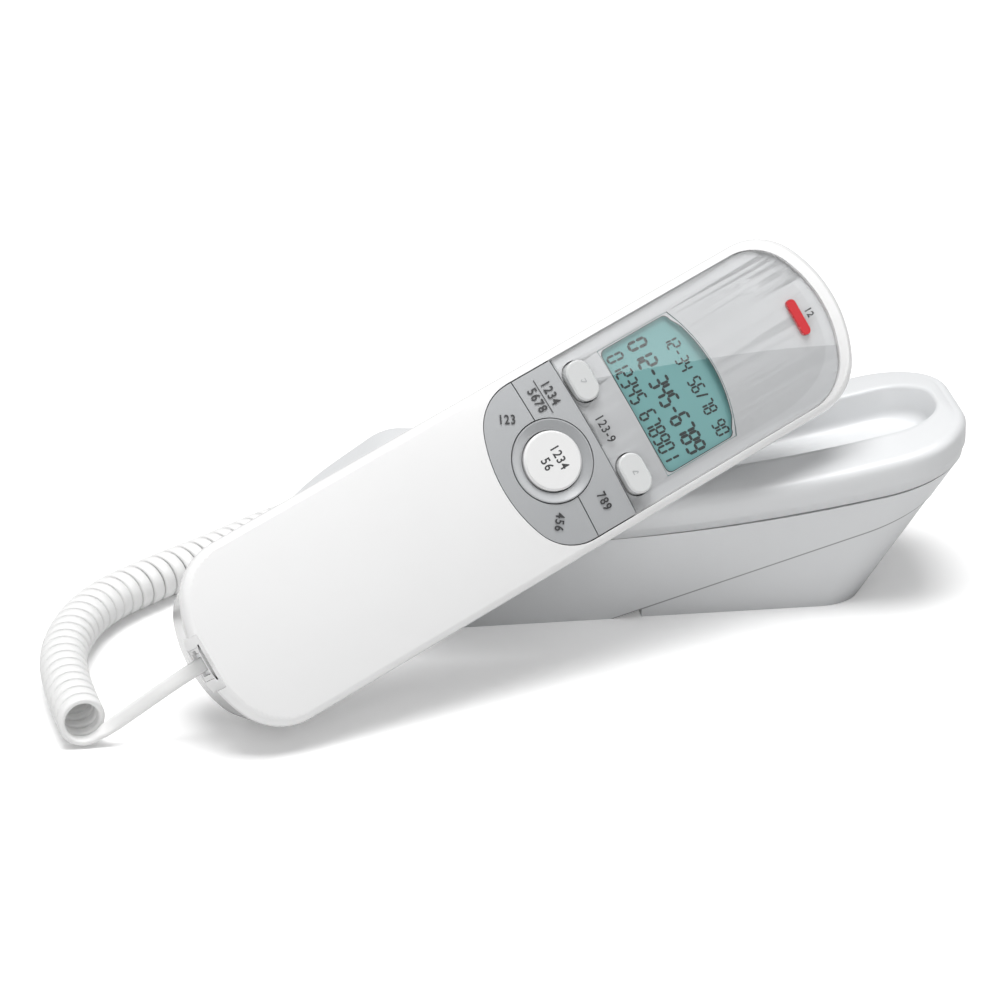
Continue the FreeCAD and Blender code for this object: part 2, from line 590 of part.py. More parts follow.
def make_screws(spots, head_radius):
    """Pan head screws as separate solids in one group, heads down."""
    screws = []
    for x, y, z, length in spots:
        head = cylinder(head_radius, x, y, z, z + 1.8)
        slot = box(x - 2, x + 2, y - 0.4, y + 0.4, z - 0.1, z + 0.8)
        cross = box(x - 0.4, x + 0.4, y - 2, y + 2, z - 0.1, z + 0.8)
        shank = cylinder(1.3, x, y, z + 1.8, z + length)
        screws.append(head.cut(slot).cut(cross).fuse(shank))
    return Part.Compound(screws)


# Cord forms

def to_world(x, y, z):
    return HANDSET.multVec(Vector(x, y, z))


def route_point(edges, distance):
    """Point and direction at a distance along joined edges."""
    piece = 0
    while piece < len(edges) - 1 and distance > edges[piece].Length:
        distance -= edges[piece].Length
        piece += 1
    edge = edges[piece]
    at = edge.getParameterByLength(min(distance, edge.Length))
    return edge.valueAt(at), edge.tangentAt(at)


def biarc(start, start_dir, end, end_dir):
    """Two tangent arcs that join two points with given directions."""
    chord = end - start
    both = start_dir + end_dir
    square = both.dot(both) - 4
    along = chord.dot(both)
    reach = (along - math.sqrt(along ** 2 - square * chord.dot(chord))) / square
    first = start + start_dir * reach
    second = end - end_dir * reach
    middle = (first + second) * 0.5
    arcs = []
    for tail, knee, head in ((start, first, middle), (middle, second, end)):
        centre = (tail + head) * 0.5
        half = (head - tail).Length / 2
        rise = (knee - centre).Length
        bulge = half * (reach - half) / rise
        arcs.append(Part.Arc(tail, centre + (knee - centre) * (bulge / rise), head).toShape())
    return arcs


def polygon_section(centre, direction, radius, sides):
    """Wire of a regular polygon square to a direction."""
    side = direction.cross(Z_AXIS if abs(direction.z) < 0.9 else X_AXIS).normalize()
    up = direction.cross(side).normalize()
    corners = []
    for index in range(sides + 1):
        angle = 2 * math.pi * index / sides
        corners.append(centre + side * (radius * math.cos(angle)) + up * (radius * math.sin(angle)))
    return Part.makePolygon(corners)


def swept(edges, radius, sides):
    """Faceted tube along a path of tangent edges."""
    path = Part.Wire(edges)
    first = edges[0]
    start, direction = first.valueAt(first.FirstParameter), first.tangentAt(first.FirstParameter)
    section = polygon_section(start, direction, radius, sides)
    return path.makePipeShell([section], True, False)


def coil_turns():
    """Helix points and directions at each half turn along the coil's route."""
    edges, _ = corner_path(COIL_ROUTE)
    total = sum(edge.Length for edge in edges)
    turns = int(total / COIL_PITCH)
    angles = [math.pi * index for index in range(2 * turns + 1)]
    angles.append(angles[-1] + math.pi / 4)
    points = []
    for angle in angles:
        centre, ahead = route_point(edges, total * angle / angles[-1])
        side = ahead.cross(Z_AXIS).normalize()
        around = COIL_START_ANGLE - angle
        spoke = side * math.cos(around) + Z_AXIS * math.sin(around)
        swing = side * math.sin(around) - Z_AXIS * math.cos(around)
        direction = swing * (2 * math.pi * COIL_RADIUS) + ahead * COIL_PITCH
        points.append((centre + spoke * COIL_RADIUS, direction.normalize()))
    return points


def least_gap(edges):
    """Smallest clearance between neighbouring turns, measured on points of the centre line."""
    samples = []
    for edge in edges:
        span = edge.LastParameter - edge.FirstParameter
        samples += [edge.valueAt(edge.FirstParameter + span * step / 4) for step in range(4)]
    nearest = min((samples[i] - samples[j]).Length for i in range(0, len(samples), 3)
                  for j in range(i + 10, min(i + 60, len(samples))))
    return nearest - CORD_WIRE


def make_coil():
    """The coil with a short straight lead each end, and each end's point and direction."""
    points = coil_turns()
    edges = []
    for (start, start_dir), (end, end_dir) in zip(points, points[1:]):
        edges += biarc(start, start_dir, end, end_dir)
    first, first_dir = points[0]
    last, last_dir = points[-1]
    coil_start = first - first_dir * CORD_WIRE
    coil_end = last + last_dir * CORD_WIRE
    edges.insert(0, Part.LineSegment(coil_start, first).toShape())
    edges.append(Part.LineSegment(last, coil_end).toShape())
    print("coil length", round(sum(edge.Length for edge in edges), 1),
          "least gap to itself", round(least_gap(edges), 2))
    return swept(edges, CORD_WIRE / 2, COIL_SIDES), coil_start, coil_end, last_dir


def write_tail(name, points):
    """Free stretch of the cord as a tube of runs and tangent arcs."""
    edges, radii = corner_path(points)
    length = sum(edge.Length for edge in edges)
    print(name, "least radius", round(min(radii), 1), "length", round(length, 1))
    write(name, swept(edges, CORD_WIRE / 2, TAIL_SIDES))


def write(name, shape, pieces=1):
    """Save one node, whose solids are counted and checked first."""
    if shape.ShapeType == "Compound" and len(shape.Solids) == 1:
        shape = shape.Solids[0]
    if not shape.isValid() or len(shape.Solids) != pieces:
        print("PROBLEM", name, "valid", shape.isValid(), "solids", len(shape.Solids))
    shape.exportStep("parts/" + name + ".step")


def write_handset(name, shape, pieces=1):
    """Save a node that was made in the handset's own axes."""
    shape = shape.copy()
    shape.transformShape(HANDSET)
    write(name, shape, pieces)


def make_plug_body(length):
    """Modular plug with its latch, standing along +Z, the cord's end at z = 0."""
    half = PLUG_WIDTH / 2
    body = box(-half, half, -half, half, 0, length)
    latch = box(-1.4, 1.4, half, half + 0.9, 2.0, length - 1.0)
    return body.fuse(latch)


def make_base_plug():
    wall_y = far_wall_y(CORD_JACK_Z)
    plug = make_plug_body(BASE_TAIL[0].y - wall_y + 11.0)
    plug.rotate(Vector(0, 0, 0), X_AXIS, 90)
    plug.translate(BASE_TAIL[0])
    return plug


def make_handset_plug():
    tip_x = END_FACE_X - PLUG_PROUD
    plug = make_plug_body(PLUG_PROUD + 9.5)
    plug.rotate(Vector(0, 0, 0), Y_AXIS, 90)
    plug.translate(Vector(tip_x, 0, PARTING_Z))
    return plug


def make_handset_jack():
    jack = box(END_FACE_X + 0.1, END_FACE_X + 12.5, -4.9, 4.9, PARTING_Z - 4.9, PARTING_Z + 4.9)
    jack = jack.cut(box(-120, END_FACE_X + 10.0, -3.5, 3.5, PARTING_Z - 3.5, PARTING_Z + 3.5))
    return jack.cut(box(-120, END_FACE_X + 10.0, 3.0, 4.4, PARTING_Z - 1.6, PARTING_Z + 1.6))


def make_plunger():
    """Hook switch plunger that the docked handset presses down."""
    floor = rim_surface_z(PLUNGER_X, RECESS_DEPTH)
    under = rim_surface_z(PLUNGER_X, COVER_DEPTH)
    top = floor + PLUNGER_PROUD
    stem = pill(PLUNGER_X, 0, 2 * PLUNGER_HALF_X, 2 * PLUNGER_HALF_Y, under - 5.0, top)
    stem = bevel_edges(stem, 1.0, lambda edge: edge.BoundBox.ZMin > top - 0.1)
    return stem.fuse(pill(PLUNGER_X, 0, 2 * PLUNGER_HALF_X + 3, 2 * PLUNGER_HALF_Y + 3,
                          under - 2.2, under - 0.7))


def make_ringer_switch():
    """Slide for the ringer loudness, reached through the far wall."""
    wall_y = far_wall_y(RINGER_Z)
    knob = box(RINGER_X - 2.3, RINGER_X + 2.3, wall_y - 4.0, wall_y + 1.4, RINGER_Z - 1.8, RINGER_Z + 1.8)
    grip = box(RINGER_X - 0.4, RINGER_X + 0.4, wall_y + 0.9, wall_y + 2, RINGER_Z - 1.8, RINGER_Z + 1.8)
    return knob.cut(grip).fuse(box(RINGER_X - 4.2, RINGER_X + 4.2, wall_y - 5.4, wall_y - 4.0,
                                   RINGER_Z - 3.2, RINGER_Z + 3.2))


def make_speaker():
    """Receiver capsule behind the earpiece holes."""
    low = EAR_Z + 4.6
    basket = cylinder(15.0, EAR_CUP_X, 0, low, low + 4.0)
    magnet = cylinder(8.0, EAR_CUP_X, 0, low + 4.0, low + 8.5)
    return basket.fuse(magnet)


def make_base_screws():
    spots = []
    for x, y in SCREW_SPOTS:
        floor = max(0.0, BRACKET_SLOPE * (x - BRACKET_HINGE_X))
        spots.append((x, y, floor + 1.4, top_height(x) - COVER_DEPTH + 1.2 - floor - 1.4))
    return make_screws(spots, 2.6)


def make_handset_screws():
    return make_screws([(x, 0, HANDLE_Z + 0.6, 12.0) for x in HANDSET_SCREW_X], 2.4)


def make_feet():
    return Part.Compound([cylinder(FOOT_PAD_RADIUS, x, y, 0, FOOT_PAD_THICK) for x, y in FOOT_SPOTS])


def make_sounder():
    """Round ringer sounder with its sound hole, on the base's board."""
    low = BASE_BOARD_Z + BOARD_THICK
    can = cylinder(11.0, SOUNDER_X, 0, low, low + 6.0)
    return can.cut(cylinder(2.0, SOUNDER_X, 0, low + 5.0, low + 8.0))


# Parts of the base
write("cradle_cover", make_cradle_cover())
write("base_housing", make_base_housing())
write("wall_bracket", make_wall_bracket())
write("cord_jack", make_jack(CORD_JACK_X, CORD_JACK_Z))
write("line_jack", make_jack(LINE_JACK_X, LINE_JACK_Z))
write("hook_plunger", make_plunger())
write("hook_switch", box(PLUNGER_X - 6, PLUNGER_X + 6, -5, 5, BASE_BOARD_Z + BOARD_THICK, BASE_BOARD_Z + 4.0))
write("base_circuit_board", make_board(-40, 43, 21, BASE_BOARD_Z))
write("ringer_sounder", make_sounder())
write("base_weight", box(-29, 7, -20, 10, BASE_WALL, BASE_WALL + 4.0))
write("ringer_slide", make_ringer_switch())
write("base_screws", make_base_screws(), len(SCREW_SPOTS))
write("rubber_feet", make_feet(), len(FOOT_SPOTS))
write("base_plug", make_base_plug())

# Parts of the handset
write_handset("outer_shell", make_outer_shell())
write_handset("inner_shell", make_inner_shell())
write_handset("display_lens", make_lens())
write_handset("display_mask", make_mask())
write_handset("display_module", box(WINDOW_X0 - 1.6, WINDOW_X1 + WINDOW_BOW + 1.6,
                                    -WINDOW_HALF - 1.6, WINDOW_HALF + 1.6, -6.2, -3.3))
write_handset("in_use_lamp", pill(LAMP_X, 0, LAMP_WIDTH, LAMP_LENGTH, -4.5, 0.1))
write_handset("key_frame", make_key_frame())
write_handset("panel_key_mat", box(-8, 34, -21, 21, DISPLAY_BOARD_Z, PANEL_MAT_Z))
write_handset("display_board", make_board(-17, 79, 21, DISPLAY_BOARD_Z - BOARD_THICK))
write_handset("main_board", make_board(-61, 51, 22, MAIN_BOARD_Z))
write_handset("dial_key_mat", box(-26, 41, -20, 20, MAIN_BOARD_Z - 1.2, MAIN_BOARD_Z))
write_handset("receiver_capsule", make_speaker())
write_handset("microphone", cylinder(4.8, MIC_X, 0, MOUTH_Z + SHELL_WALL, MOUTH_Z + SHELL_WALL + 4.5))
write_handset("handset_jack", make_handset_jack())
write_handset("handset_screws", make_handset_screws(), len(HANDSET_SCREW_X))
write_handset("handset_plug", make_handset_plug())

# Keys
write_handset("round_key", make_round_key())
write_handset("upper_rocker_key", make_rocker(KEY_SPLIT_X + KEY_GAP / 2, KEY_LINE_X - KEY_GAP))
write_handset("lower_rocker_key", make_rocker(-200, KEY_SPLIT_X - KEY_GAP / 2))
for name, y in zip(("scroll_up_key", "scroll_down_key"), OVAL_KEY_Y):
    write_handset(name, make_oval_key(y))
for name, (x, y) in zip(DIAL_NAMES, dial_spots()):
    write_handset("dial_key_" + name, make_dial_key(x, y))
for name, (x, y) in zip(("redial_key", "mute_key"), extra_spots()):
    write_handset(name, make_dial_key(x, y))

# Cord
coil, coil_start, coil_end, coil_end_dir = make_coil()
plug_end = to_world(END_FACE_X - PLUG_PROUD, 0, PARTING_Z)
plug_dir = (plug_end - to_world(END_FACE_X - TAIL_LEAD, 0, PARTING_Z)).normalize()
write("cord_coil", coil)
write_tail("cord_base_tail", BASE_TAIL + [coil_start])
write_tail("cord_handset_tail", [coil_end, coil_end + coil_end_dir * TAIL_LEAD,
                                 plug_end - plug_dir * TAIL_LEAD, plug_end])
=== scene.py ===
import math

import bmesh
import bpy
from bpy.props import FloatProperty, FloatVectorProperty, IntProperty, PointerProperty
from mathutils import Matrix, Vector


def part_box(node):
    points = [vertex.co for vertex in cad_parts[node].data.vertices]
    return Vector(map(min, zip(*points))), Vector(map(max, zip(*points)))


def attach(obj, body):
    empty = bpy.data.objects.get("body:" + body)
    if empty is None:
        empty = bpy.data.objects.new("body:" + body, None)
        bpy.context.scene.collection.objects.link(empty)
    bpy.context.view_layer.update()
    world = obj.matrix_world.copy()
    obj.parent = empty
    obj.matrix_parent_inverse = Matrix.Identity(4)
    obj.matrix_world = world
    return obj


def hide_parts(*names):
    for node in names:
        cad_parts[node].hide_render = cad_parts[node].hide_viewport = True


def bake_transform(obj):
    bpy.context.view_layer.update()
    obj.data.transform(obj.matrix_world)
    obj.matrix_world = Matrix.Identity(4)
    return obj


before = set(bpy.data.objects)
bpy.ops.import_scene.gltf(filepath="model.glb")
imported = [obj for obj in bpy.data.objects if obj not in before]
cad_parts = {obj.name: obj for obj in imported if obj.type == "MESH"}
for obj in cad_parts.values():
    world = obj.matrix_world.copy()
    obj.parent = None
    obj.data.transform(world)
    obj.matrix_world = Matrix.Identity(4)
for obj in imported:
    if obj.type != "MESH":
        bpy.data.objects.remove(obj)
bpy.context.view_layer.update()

bl_info = {
    "name": "Slim telephone",
    "version": (1, 0, 0),
    "blender": (4, 5, 0),
    "location": "View3D > Sidebar > Telephone",
    "description": "Dresses a slim corded telephone and its cord around the packed parts",
    "category": "Object",
}

MM = 0.001
UP = Vector((0, 0, 1))

# The handset's own axes, as the parts have them: along, across and out of the display face
YAW, TILT, ROLL = math.radians(14.16), math.radians(30.48), math.radians(19.94)
HANDSET_CENTRE = Vector((-16.5, -58.2, 62.1)) * MM
FACE_CROWN = 190.0 * MM

# The cord's route, as the parts have it
COIL_AXIS_Z = 7.65
BASE_TAIL = [(-42.9, 34.6, 9.0), (-42.9, 43.5, 9.0), (-42.6, 53.0, 5.2), (-42.9, 63.9, 2.2),
             (-46.5, 71.0, 1.55), (-54.5, 74.5, 1.55), (-62.7, 71.6, 1.55), (-66.6, 62.37, 1.55)]
COIL_ROUTE = [(-62, 50), (-82, 39.5), (-101.5, 21.5), (-121, 6.5), (-142, -12.5), (-152.5, -40), (-153, -66),
              (-149, -92)]
PLUG_TIP = (-109.9, 0, -11.5)
TAIL_RUN = 7.0
CURL_STEPS = 16

# The base's rim in millimetres, as the parts have it, and the recess and band that the scene gives it
RIM = (-90.0, 123.5, 35.0, 25.0)
FOOT = (-84.0, 92.0, 27.0, 15.0)
FOOT_LEAN = (-0.10, 0.68, 0.18, 0.20)
RECESS = (-84.5, 117.0, 18.0, 16.0)
RIM_LOW_X, RIM_LOW_Z, RIM_ARC = -3.5, 40.0, 500.0
RAMP_TOP_X, RAMP_SLOPE, RAMP_ROUND = -49.0, 0.685, 4.0
COVER_DEPTH, BAND_DEPTH, RECESS_DEPTH = 12.0, 8.2, 9.0
RIM_ROLL, LIP_RISE = 3.5, 1.2
SEAM_HINGE_X, SEAM_SLOPE = 13.2, 0.335

# Display face layout in handset millimetres: x towards the earpiece, text reading towards -y
WINDOW_LOW_X, WINDOW_HIGH_X, WINDOW_BOW, WINDOW_HALF = 37.8, 63.5, 4.4, 21.0
WINDOW_CORNER = 2.0
PANEL_HALF, PANEL_HIGH_X, PANEL_END_RADIUS, PANEL_CORNER = 25.9, 108.3, 39.5, 16.0
SCROLL_KEYS = (("scroll_up_key", 28.2, 15.8), ("scroll_down_key", 28.2, -15.2))
PRINT_LIFT, NUMBER_SIZE = 0.06, 5.6
BORDER_INNER, BORDER_OUTER = 4.1, 3.3

# The nodes that share the handset's white, and those that share the base's
WHITE_NODES = ("outer_shell", "inner_shell")
BASE_NODES = ("base_housing", "wall_bracket")

# Seven segments between corner marks: left or right, and low, middle or high
STROKES = {"a": ((0, 2), (1, 2)), "b": ((1, 2), (1, 1)), "c": ((1, 1), (1, 0)), "d": ((0, 0), (1, 0)),
           "e": ((0, 0), (0, 1)), "f": ((0, 1), (0, 2)), "g": ((0, 1), (1, 1))}
LIT = {"0": "abcdef", "1": "bc", "2": "abged", "3": "abgcd", "4": "fgbc", "5": "afgcd", "6": "afgedc",
       "7": "abc", "8": "abcdefg", "9": "abcdfg", "-": "g", " ": ""}
SEGMENTS = {sign: [STROKES[key] for key in keys] for sign, keys in LIT.items()}
SEGMENTS["/"] = [((0.2, 0), (0.8, 2))]

# Text, row middle x, first character's y, pitch, width, height and stroke in handset millimetres
DISPLAY_ROWS = (("12-34 56/78 90", 60.6, 14.5, 2.42, 1.6, 4.1, 0.62),
                ("012-345-6789", 50.6, 18.0, 3.15, 2.2, 5.8, 0.9),
                ("012345 678901", 42.3, 17.6, 2.75, 1.8, 5.0, 0.7))

# Plain numbers where the keys are marked: text, size, x, y, turn in degrees and the body that they ride on
LABELS = (("1 2 3 4", 4.1, 17.9, 17.4, 0, "upper_rocker_key"),
          ("5 6 7 8", 4.1, 13.2, 17.4, 0, "upper_rocker_key"),
          ("1 2 3", 3.9, 2.0, 16.8, 62, "lower_rocker_key"),
          ("4 5 6", 3.9, 0.4, -16.2, -36, "lower_rocker_key"),
          ("7 8 9", 4.0, 15.8, -17.6, 0, "upper_rocker_key"), ("1 2 3 - 9", 4.0, 27.0, 0.4, 0, "handset"),
          ("1 2 3 4", 4.1, 9.9, 0, 0, "round_key"), ("5 6", 4.1, 5.5, 0, 0, "round_key"),
          ("1 2", 3.2, 102.6, -0.3, 0, "handset"))

# The key node under each number, as a user with the keypad in view reads them from the left
DIAL_ORDER = ("3", "2", "1", "6", "5", "4", "9", "8", "7", "#", "0", "*")

# The camera's place and the direction that it looks in
CAMERA_PLACE = Vector((-181.8, -1170.0, 530.9)) * MM
CAMERA_AZIMUTH, CAMERA_ELEVATION = math.radians(8.0), math.radians(23.0)

# The pale card that the display window mirrors: two points on its lower edge, seen from the window's middle
CARD_EDGE = (Vector((0.737, -0.885, 1.085)), Vector((1.044, -0.958, 0.751)))
CARD_SIZE = (2.4, 1.3)
MIRROR_X = 75


def handset_matrix():
    normal = Vector((math.sin(YAW) * math.cos(TILT), -math.cos(YAW) * math.cos(TILT), math.sin(TILT)))
    level = Vector((math.cos(YAW), math.sin(YAW), 0))
    rise = normal.cross(level)
    along = level * math.cos(ROLL) + rise * math.sin(ROLL)
    across = normal.cross(along)
    matrix = Matrix((along, across, normal)).transposed().to_4x4()
    matrix.translation = HANDSET_CENTRE
    return matrix


HANDSET = handset_matrix()


# Settings that a user would change

class CordSettings(bpy.types.PropertyGroup):
    width: FloatProperty(name="Ribbon width", description="Width of the flat cord",
                         default=4.3 * MM, unit="LENGTH")
    thickness: FloatProperty(name="Ribbon thickness", description="Thickness of the flat cord",
                             default=1.9 * MM, unit="LENGTH")
    turns: IntProperty(name="Turns", description="Curls in the coil", default=37)
    radius: FloatProperty(name="Coil radius", description="From the coil's axis to the ribbon's middle",
                          default=6.1 * MM, unit="LENGTH")


class FinishSettings(bpy.types.PropertyGroup):
    handset_white: FloatVectorProperty(name="Handset white", description="Colour of the handset shells",
                                       default=(0.87, 0.87, 0.87), subtype="COLOR")
    base_white: FloatVectorProperty(name="Base white", description="Colour of the base mouldings",
                                    default=(0.74, 0.75, 0.76), subtype="COLOR")
    panel_silver: FloatVectorProperty(name="Panel silver", description="Colour of the printed sheet",
                                      default=(0.50, 0.51, 0.52), subtype="COLOR")
    key_silver: FloatVectorProperty(name="Key silver", description="Colour of the key segments",
                                    default=(0.40, 0.41, 0.42), subtype="COLOR")
    display_green: FloatVectorProperty(name="Display", description="Colour of the liquid crystal panel",
                                       default=(0.175, 0.385, 0.385), subtype="COLOR")
    lamp_red: FloatVectorProperty(name="Lamp red", description="Colour of the in-use lamp",
                                  default=(0.6, 0.004, 0.012), subtype="COLOR")


class StageSettings(bpy.types.PropertyGroup):
    lens_length: FloatProperty(name="Camera lens", description="Focal length in millimetres", default=152.1)
    overhead: FloatProperty(name="Overhead lamp", description="Power of the large lamp above", default=99.0)
    fill: FloatProperty(name="Fill lamp", description="Power of the low lamp in front", default=7.0)
    card: FloatProperty(name="Mirrored card", description="Power of the card in the window's gloss",
                        default=24.0)
    sky: FloatProperty(name="Sky", description="Strength of the even light all round", default=0.25)


# Shader helpers

class Value:
    """A socket with arithmetic: an expression adds its Math nodes."""

    def __init__(self, graph, socket):
        self.graph = graph
        self.socket = socket

    def _math(self, operation, first, second):
        node = self.graph.tree.nodes.new("ShaderNodeMath")
        node.operation = operation
        for index, value in enumerate((first, second)):
            self.graph.plug(node.inputs[index], value)
        return Value(self.graph, node.outputs[0])

    def __add__(self, other):
        return self._math("ADD", self, other)

    def __mul__(self, other):
        return self._math("MULTIPLY", self, other)

    def __sub__(self, other):
        return self._math("SUBTRACT", self, other)

    def __rsub__(self, other):
        return self._math("SUBTRACT", other, self)

    def above(self, limit):
        return self._math("GREATER_THAN", self, limit)

    def larger(self, other):
        return self._math("MAXIMUM", self, other)

    def smaller(self, other):
        return self._math("MINIMUM", self, other)

    def power(self, exponent):
        return self._math("POWER", self, exponent)

    def size(self):
        return self._math("ABSOLUTE", self, 0.0)

    def ramp(self, low, high):
        """0 below the low mark, 1 above the high one, even between."""
        share = (self - low) * (1 / (high - low))
        return share.larger(0.0).smaller(1.0)

    __radd__ = __add__
    __rmul__ = __mul__


class Graph:
    """One material's node tree."""

    def __init__(self, name):
        self.material = bpy.data.materials.new(name)
        self.material.use_nodes = True
        self.tree = self.material.node_tree
        self.tree.nodes.clear()

    def plug(self, socket, value):
        if isinstance(value, Value):
            self.tree.links.new(value.socket, socket)
        elif hasattr(value, "links"):
            self.tree.links.new(value, socket)
        else:
            socket.default_value = value

    def node(self, kind, settings=None, **sockets):
        node = self.tree.nodes.new(kind)
        for key, value in (settings or {}).items():
            setattr(node, key, value)
        for key, value in sockets.items():
            self.plug(node.inputs[key.replace("_", " ")], value)
        return node

    def node_value(self, kind, output):
        return Value(self, self.node(kind).outputs[output])

    def place(self, scale):
        coordinates = self.node("ShaderNodeTexCoord").outputs["Object"]
        mapping = self.node("ShaderNodeMapping", Vector=coordinates)
        mapping.inputs["Scale"].default_value = (scale, scale, scale)
        return mapping.outputs[0]

    def noise(self, scale, detail=3.0):
        texture = self.node("ShaderNodeTexNoise", Vector=self.place(scale), Detail=detail)
        texture.inputs["Scale"].default_value = 1.0
        return Value(self, texture.outputs["Fac"])

    def tint(self, dark, light, factor):
        mix = self.node("ShaderNodeMix", {"data_type": "RGBA"})
        self.plug(mix.inputs[0], factor)
        mix.inputs[6].default_value = (*dark, 1)
        mix.inputs[7].default_value = (*light, 1)
        return mix.outputs[2]

    def bump(self, height, strength, distance, normal=None):
        node = self.node("ShaderNodeBump", Height=height)
        if normal:
            self.plug(node.inputs["Normal"], normal)
        node.inputs["Strength"].default_value = strength
        node.inputs["Distance"].default_value = distance
        return node.outputs[0]

    def vector(self, operation, first, second, output="Vector"):
        node = self.node("ShaderNodeVectorMath", {"operation": operation})
        self.plug(node.inputs[0], first)
        self.plug(node.inputs["Scale" if operation == "SCALE" else 1], second)
        return node.outputs[output]

    def face_place(self, axis):
        """Distance from the handset's middle along one of its axes, in metres."""
        here = self.node("ShaderNodeTexCoord").outputs["Object"]
        direction = HANDSET.to_3x3().col[axis]
        along = Value(self, self.vector("DOT_PRODUCT", here, tuple(direction), "Value"))
        return along - direction.dot(HANDSET_CENTRE)

    def crowned_normal(self):
        """Even normal of the crowned display face; other faces keep their own."""
        across, outward = HANDSET.to_3x3().col[1], HANDSET.to_3x3().col[2]
        lean = self.face_place(1) * (1 / FACE_CROWN)
        tilted = self.vector("SCALE", tuple(across), lean.socket)
        even = self.vector("NORMALIZE", self.vector("ADD", tilted, tuple(outward)), (0, 0, 0))
        even = self.node("ShaderNodeVectorTransform",
                         {"vector_type": "NORMAL", "convert_from": "OBJECT", "convert_to": "WORLD"},
                         Vector=even).outputs[0]
        surface = self.node("ShaderNodeNewGeometry")
        facing = Value(self, self.vector("DOT_PRODUCT", surface.outputs["True Normal"], even, "Value"))
        mix = self.node("ShaderNodeMix", {"data_type": "VECTOR"})
        self.plug(mix.inputs[0], facing.above(0.985))
        self.plug(mix.inputs[4], surface.outputs["Normal"])
        self.plug(mix.inputs[5], even)
        return mix.outputs[1]

    def finish(self, shader):
        output = self.node("ShaderNodeOutputMaterial")
        self.tree.links.new(shader, output.inputs["Surface"])
        return self.material


def shade(colour, factor):
    return tuple(channel * factor for channel in colour)


def moulded(name, colour, roughness=0.3, coat=0.25, grain=0.02, crowned=False, seam_shade=False):
    """Moulded plastic: faint colour drift, fine surface grain and a soft gloss; seam_shade adds a painted
    shade line along the base's seam.
    """
    graph = Graph(name)
    drift = graph.noise(18.0)
    speck = graph.noise(2600.0, 2.0)
    colour_out = graph.tint(shade(colour, 0.975), shade(colour, 1.012), drift)
    if seam_shade:
        line = graph.node("ShaderNodeMix", {"data_type": "RGBA"})
        graph.plug(line.inputs[0], seam_groove_shade(graph))
        graph.plug(line.inputs[6], colour_out)
        # Painted shade of the seam's groove: the base colour at 35 %
        line.inputs[7].default_value = (*shade(colour, 0.35), 1)
        colour_out = line.outputs[2]
    normal = graph.crowned_normal() if crowned else None
    shader = graph.node("ShaderNodeBsdfPrincipled", Base_Color=colour_out,
                        Roughness=drift * 0.06 + (roughness - 0.03),
                        Normal=graph.bump(speck, grain, 0.0002, normal))
    shader.inputs["Coat Weight"].default_value = coat
    shader.inputs["Coat Roughness"].default_value = 0.08
    return graph.finish(shader.outputs[0])


def seam_groove_shade(graph):
    """Painted shade: 1 on the sloping line where the wall bracket meets the base, standing in for the shade
    in the seam's groove.
    """
    here = graph.node("ShaderNodeSeparateXYZ", Vector=graph.node("ShaderNodeTexCoord").outputs["Object"])
    level = Value(graph, here.outputs["Z"])
    plane = Value(graph, here.outputs["X"]) * SEAM_SLOPE - SEAM_SLOPE * SEAM_HINGE_X * MM
    return 1 - (level - plane).size().ramp(0.15 * MM, 0.4 * MM)


def satin_metallic(name, colour, roughness=0.34, metallic=0.1):
    """Silver paint: fine bright flakes in a satin ground."""
    graph = Graph(name)
    flakes = graph.noise(5200.0, 1.0)
    drift = graph.noise(30.0)
    colour_out = graph.tint(shade(colour, 0.96), shade(colour, 1.04), flakes)
    shader = graph.node("ShaderNodeBsdfPrincipled", Base_Color=colour_out,
                        Roughness=drift * 0.08 + roughness,
                        Normal=graph.bump(flakes, 0.03, 0.0001, graph.crowned_normal()))
    shader.inputs["Metallic"].default_value = metallic
    return graph.finish(shader.outputs[0])


def printed_sheet(name, colour):
    """Silver print behind the window, paler towards the panel's edge."""
    graph = Graph(name)
    drift = graph.noise(30.0)
    edge = graph.node("ShaderNodeMix", {"data_type": "RGBA"})
    graph.plug(edge.inputs[0], 1 - panel_depth(graph).ramp(BORDER_OUTER * MM, BORDER_INNER * MM))
    graph.plug(edge.inputs[6], graph.tint(shade(colour, 0.98), shade(colour, 1.02), drift))
    edge.inputs[7].default_value = (*shade(colour, 1.1), 1)
    shader = graph.node("ShaderNodeBsdfPrincipled", Base_Color=edge.outputs[2], Roughness=drift * 0.08 + 0.34)
    return graph.finish(shader.outputs[0])


def panel_depth(graph):
    """Distance in from the display panel's outline at the sides and the earpiece end."""
    along, across = graph.face_place(0), graph.face_place(1)
    bow_x = (PANEL_HIGH_X - PANEL_END_RADIUS) * MM
    reach = (along - bow_x).larger(0.0)
    from_end = PANEL_END_RADIUS * MM - (reach * reach + across * across).power(0.5)
    from_side = PANEL_HALF * MM - across.size()
    corner = PANEL_CORNER * MM
    side_lack = (corner - from_side).larger(0.0)
    end_lack = (corner - from_end).larger(0.0)
    return corner - (side_lack * side_lack + end_lack * end_lack).power(0.5)


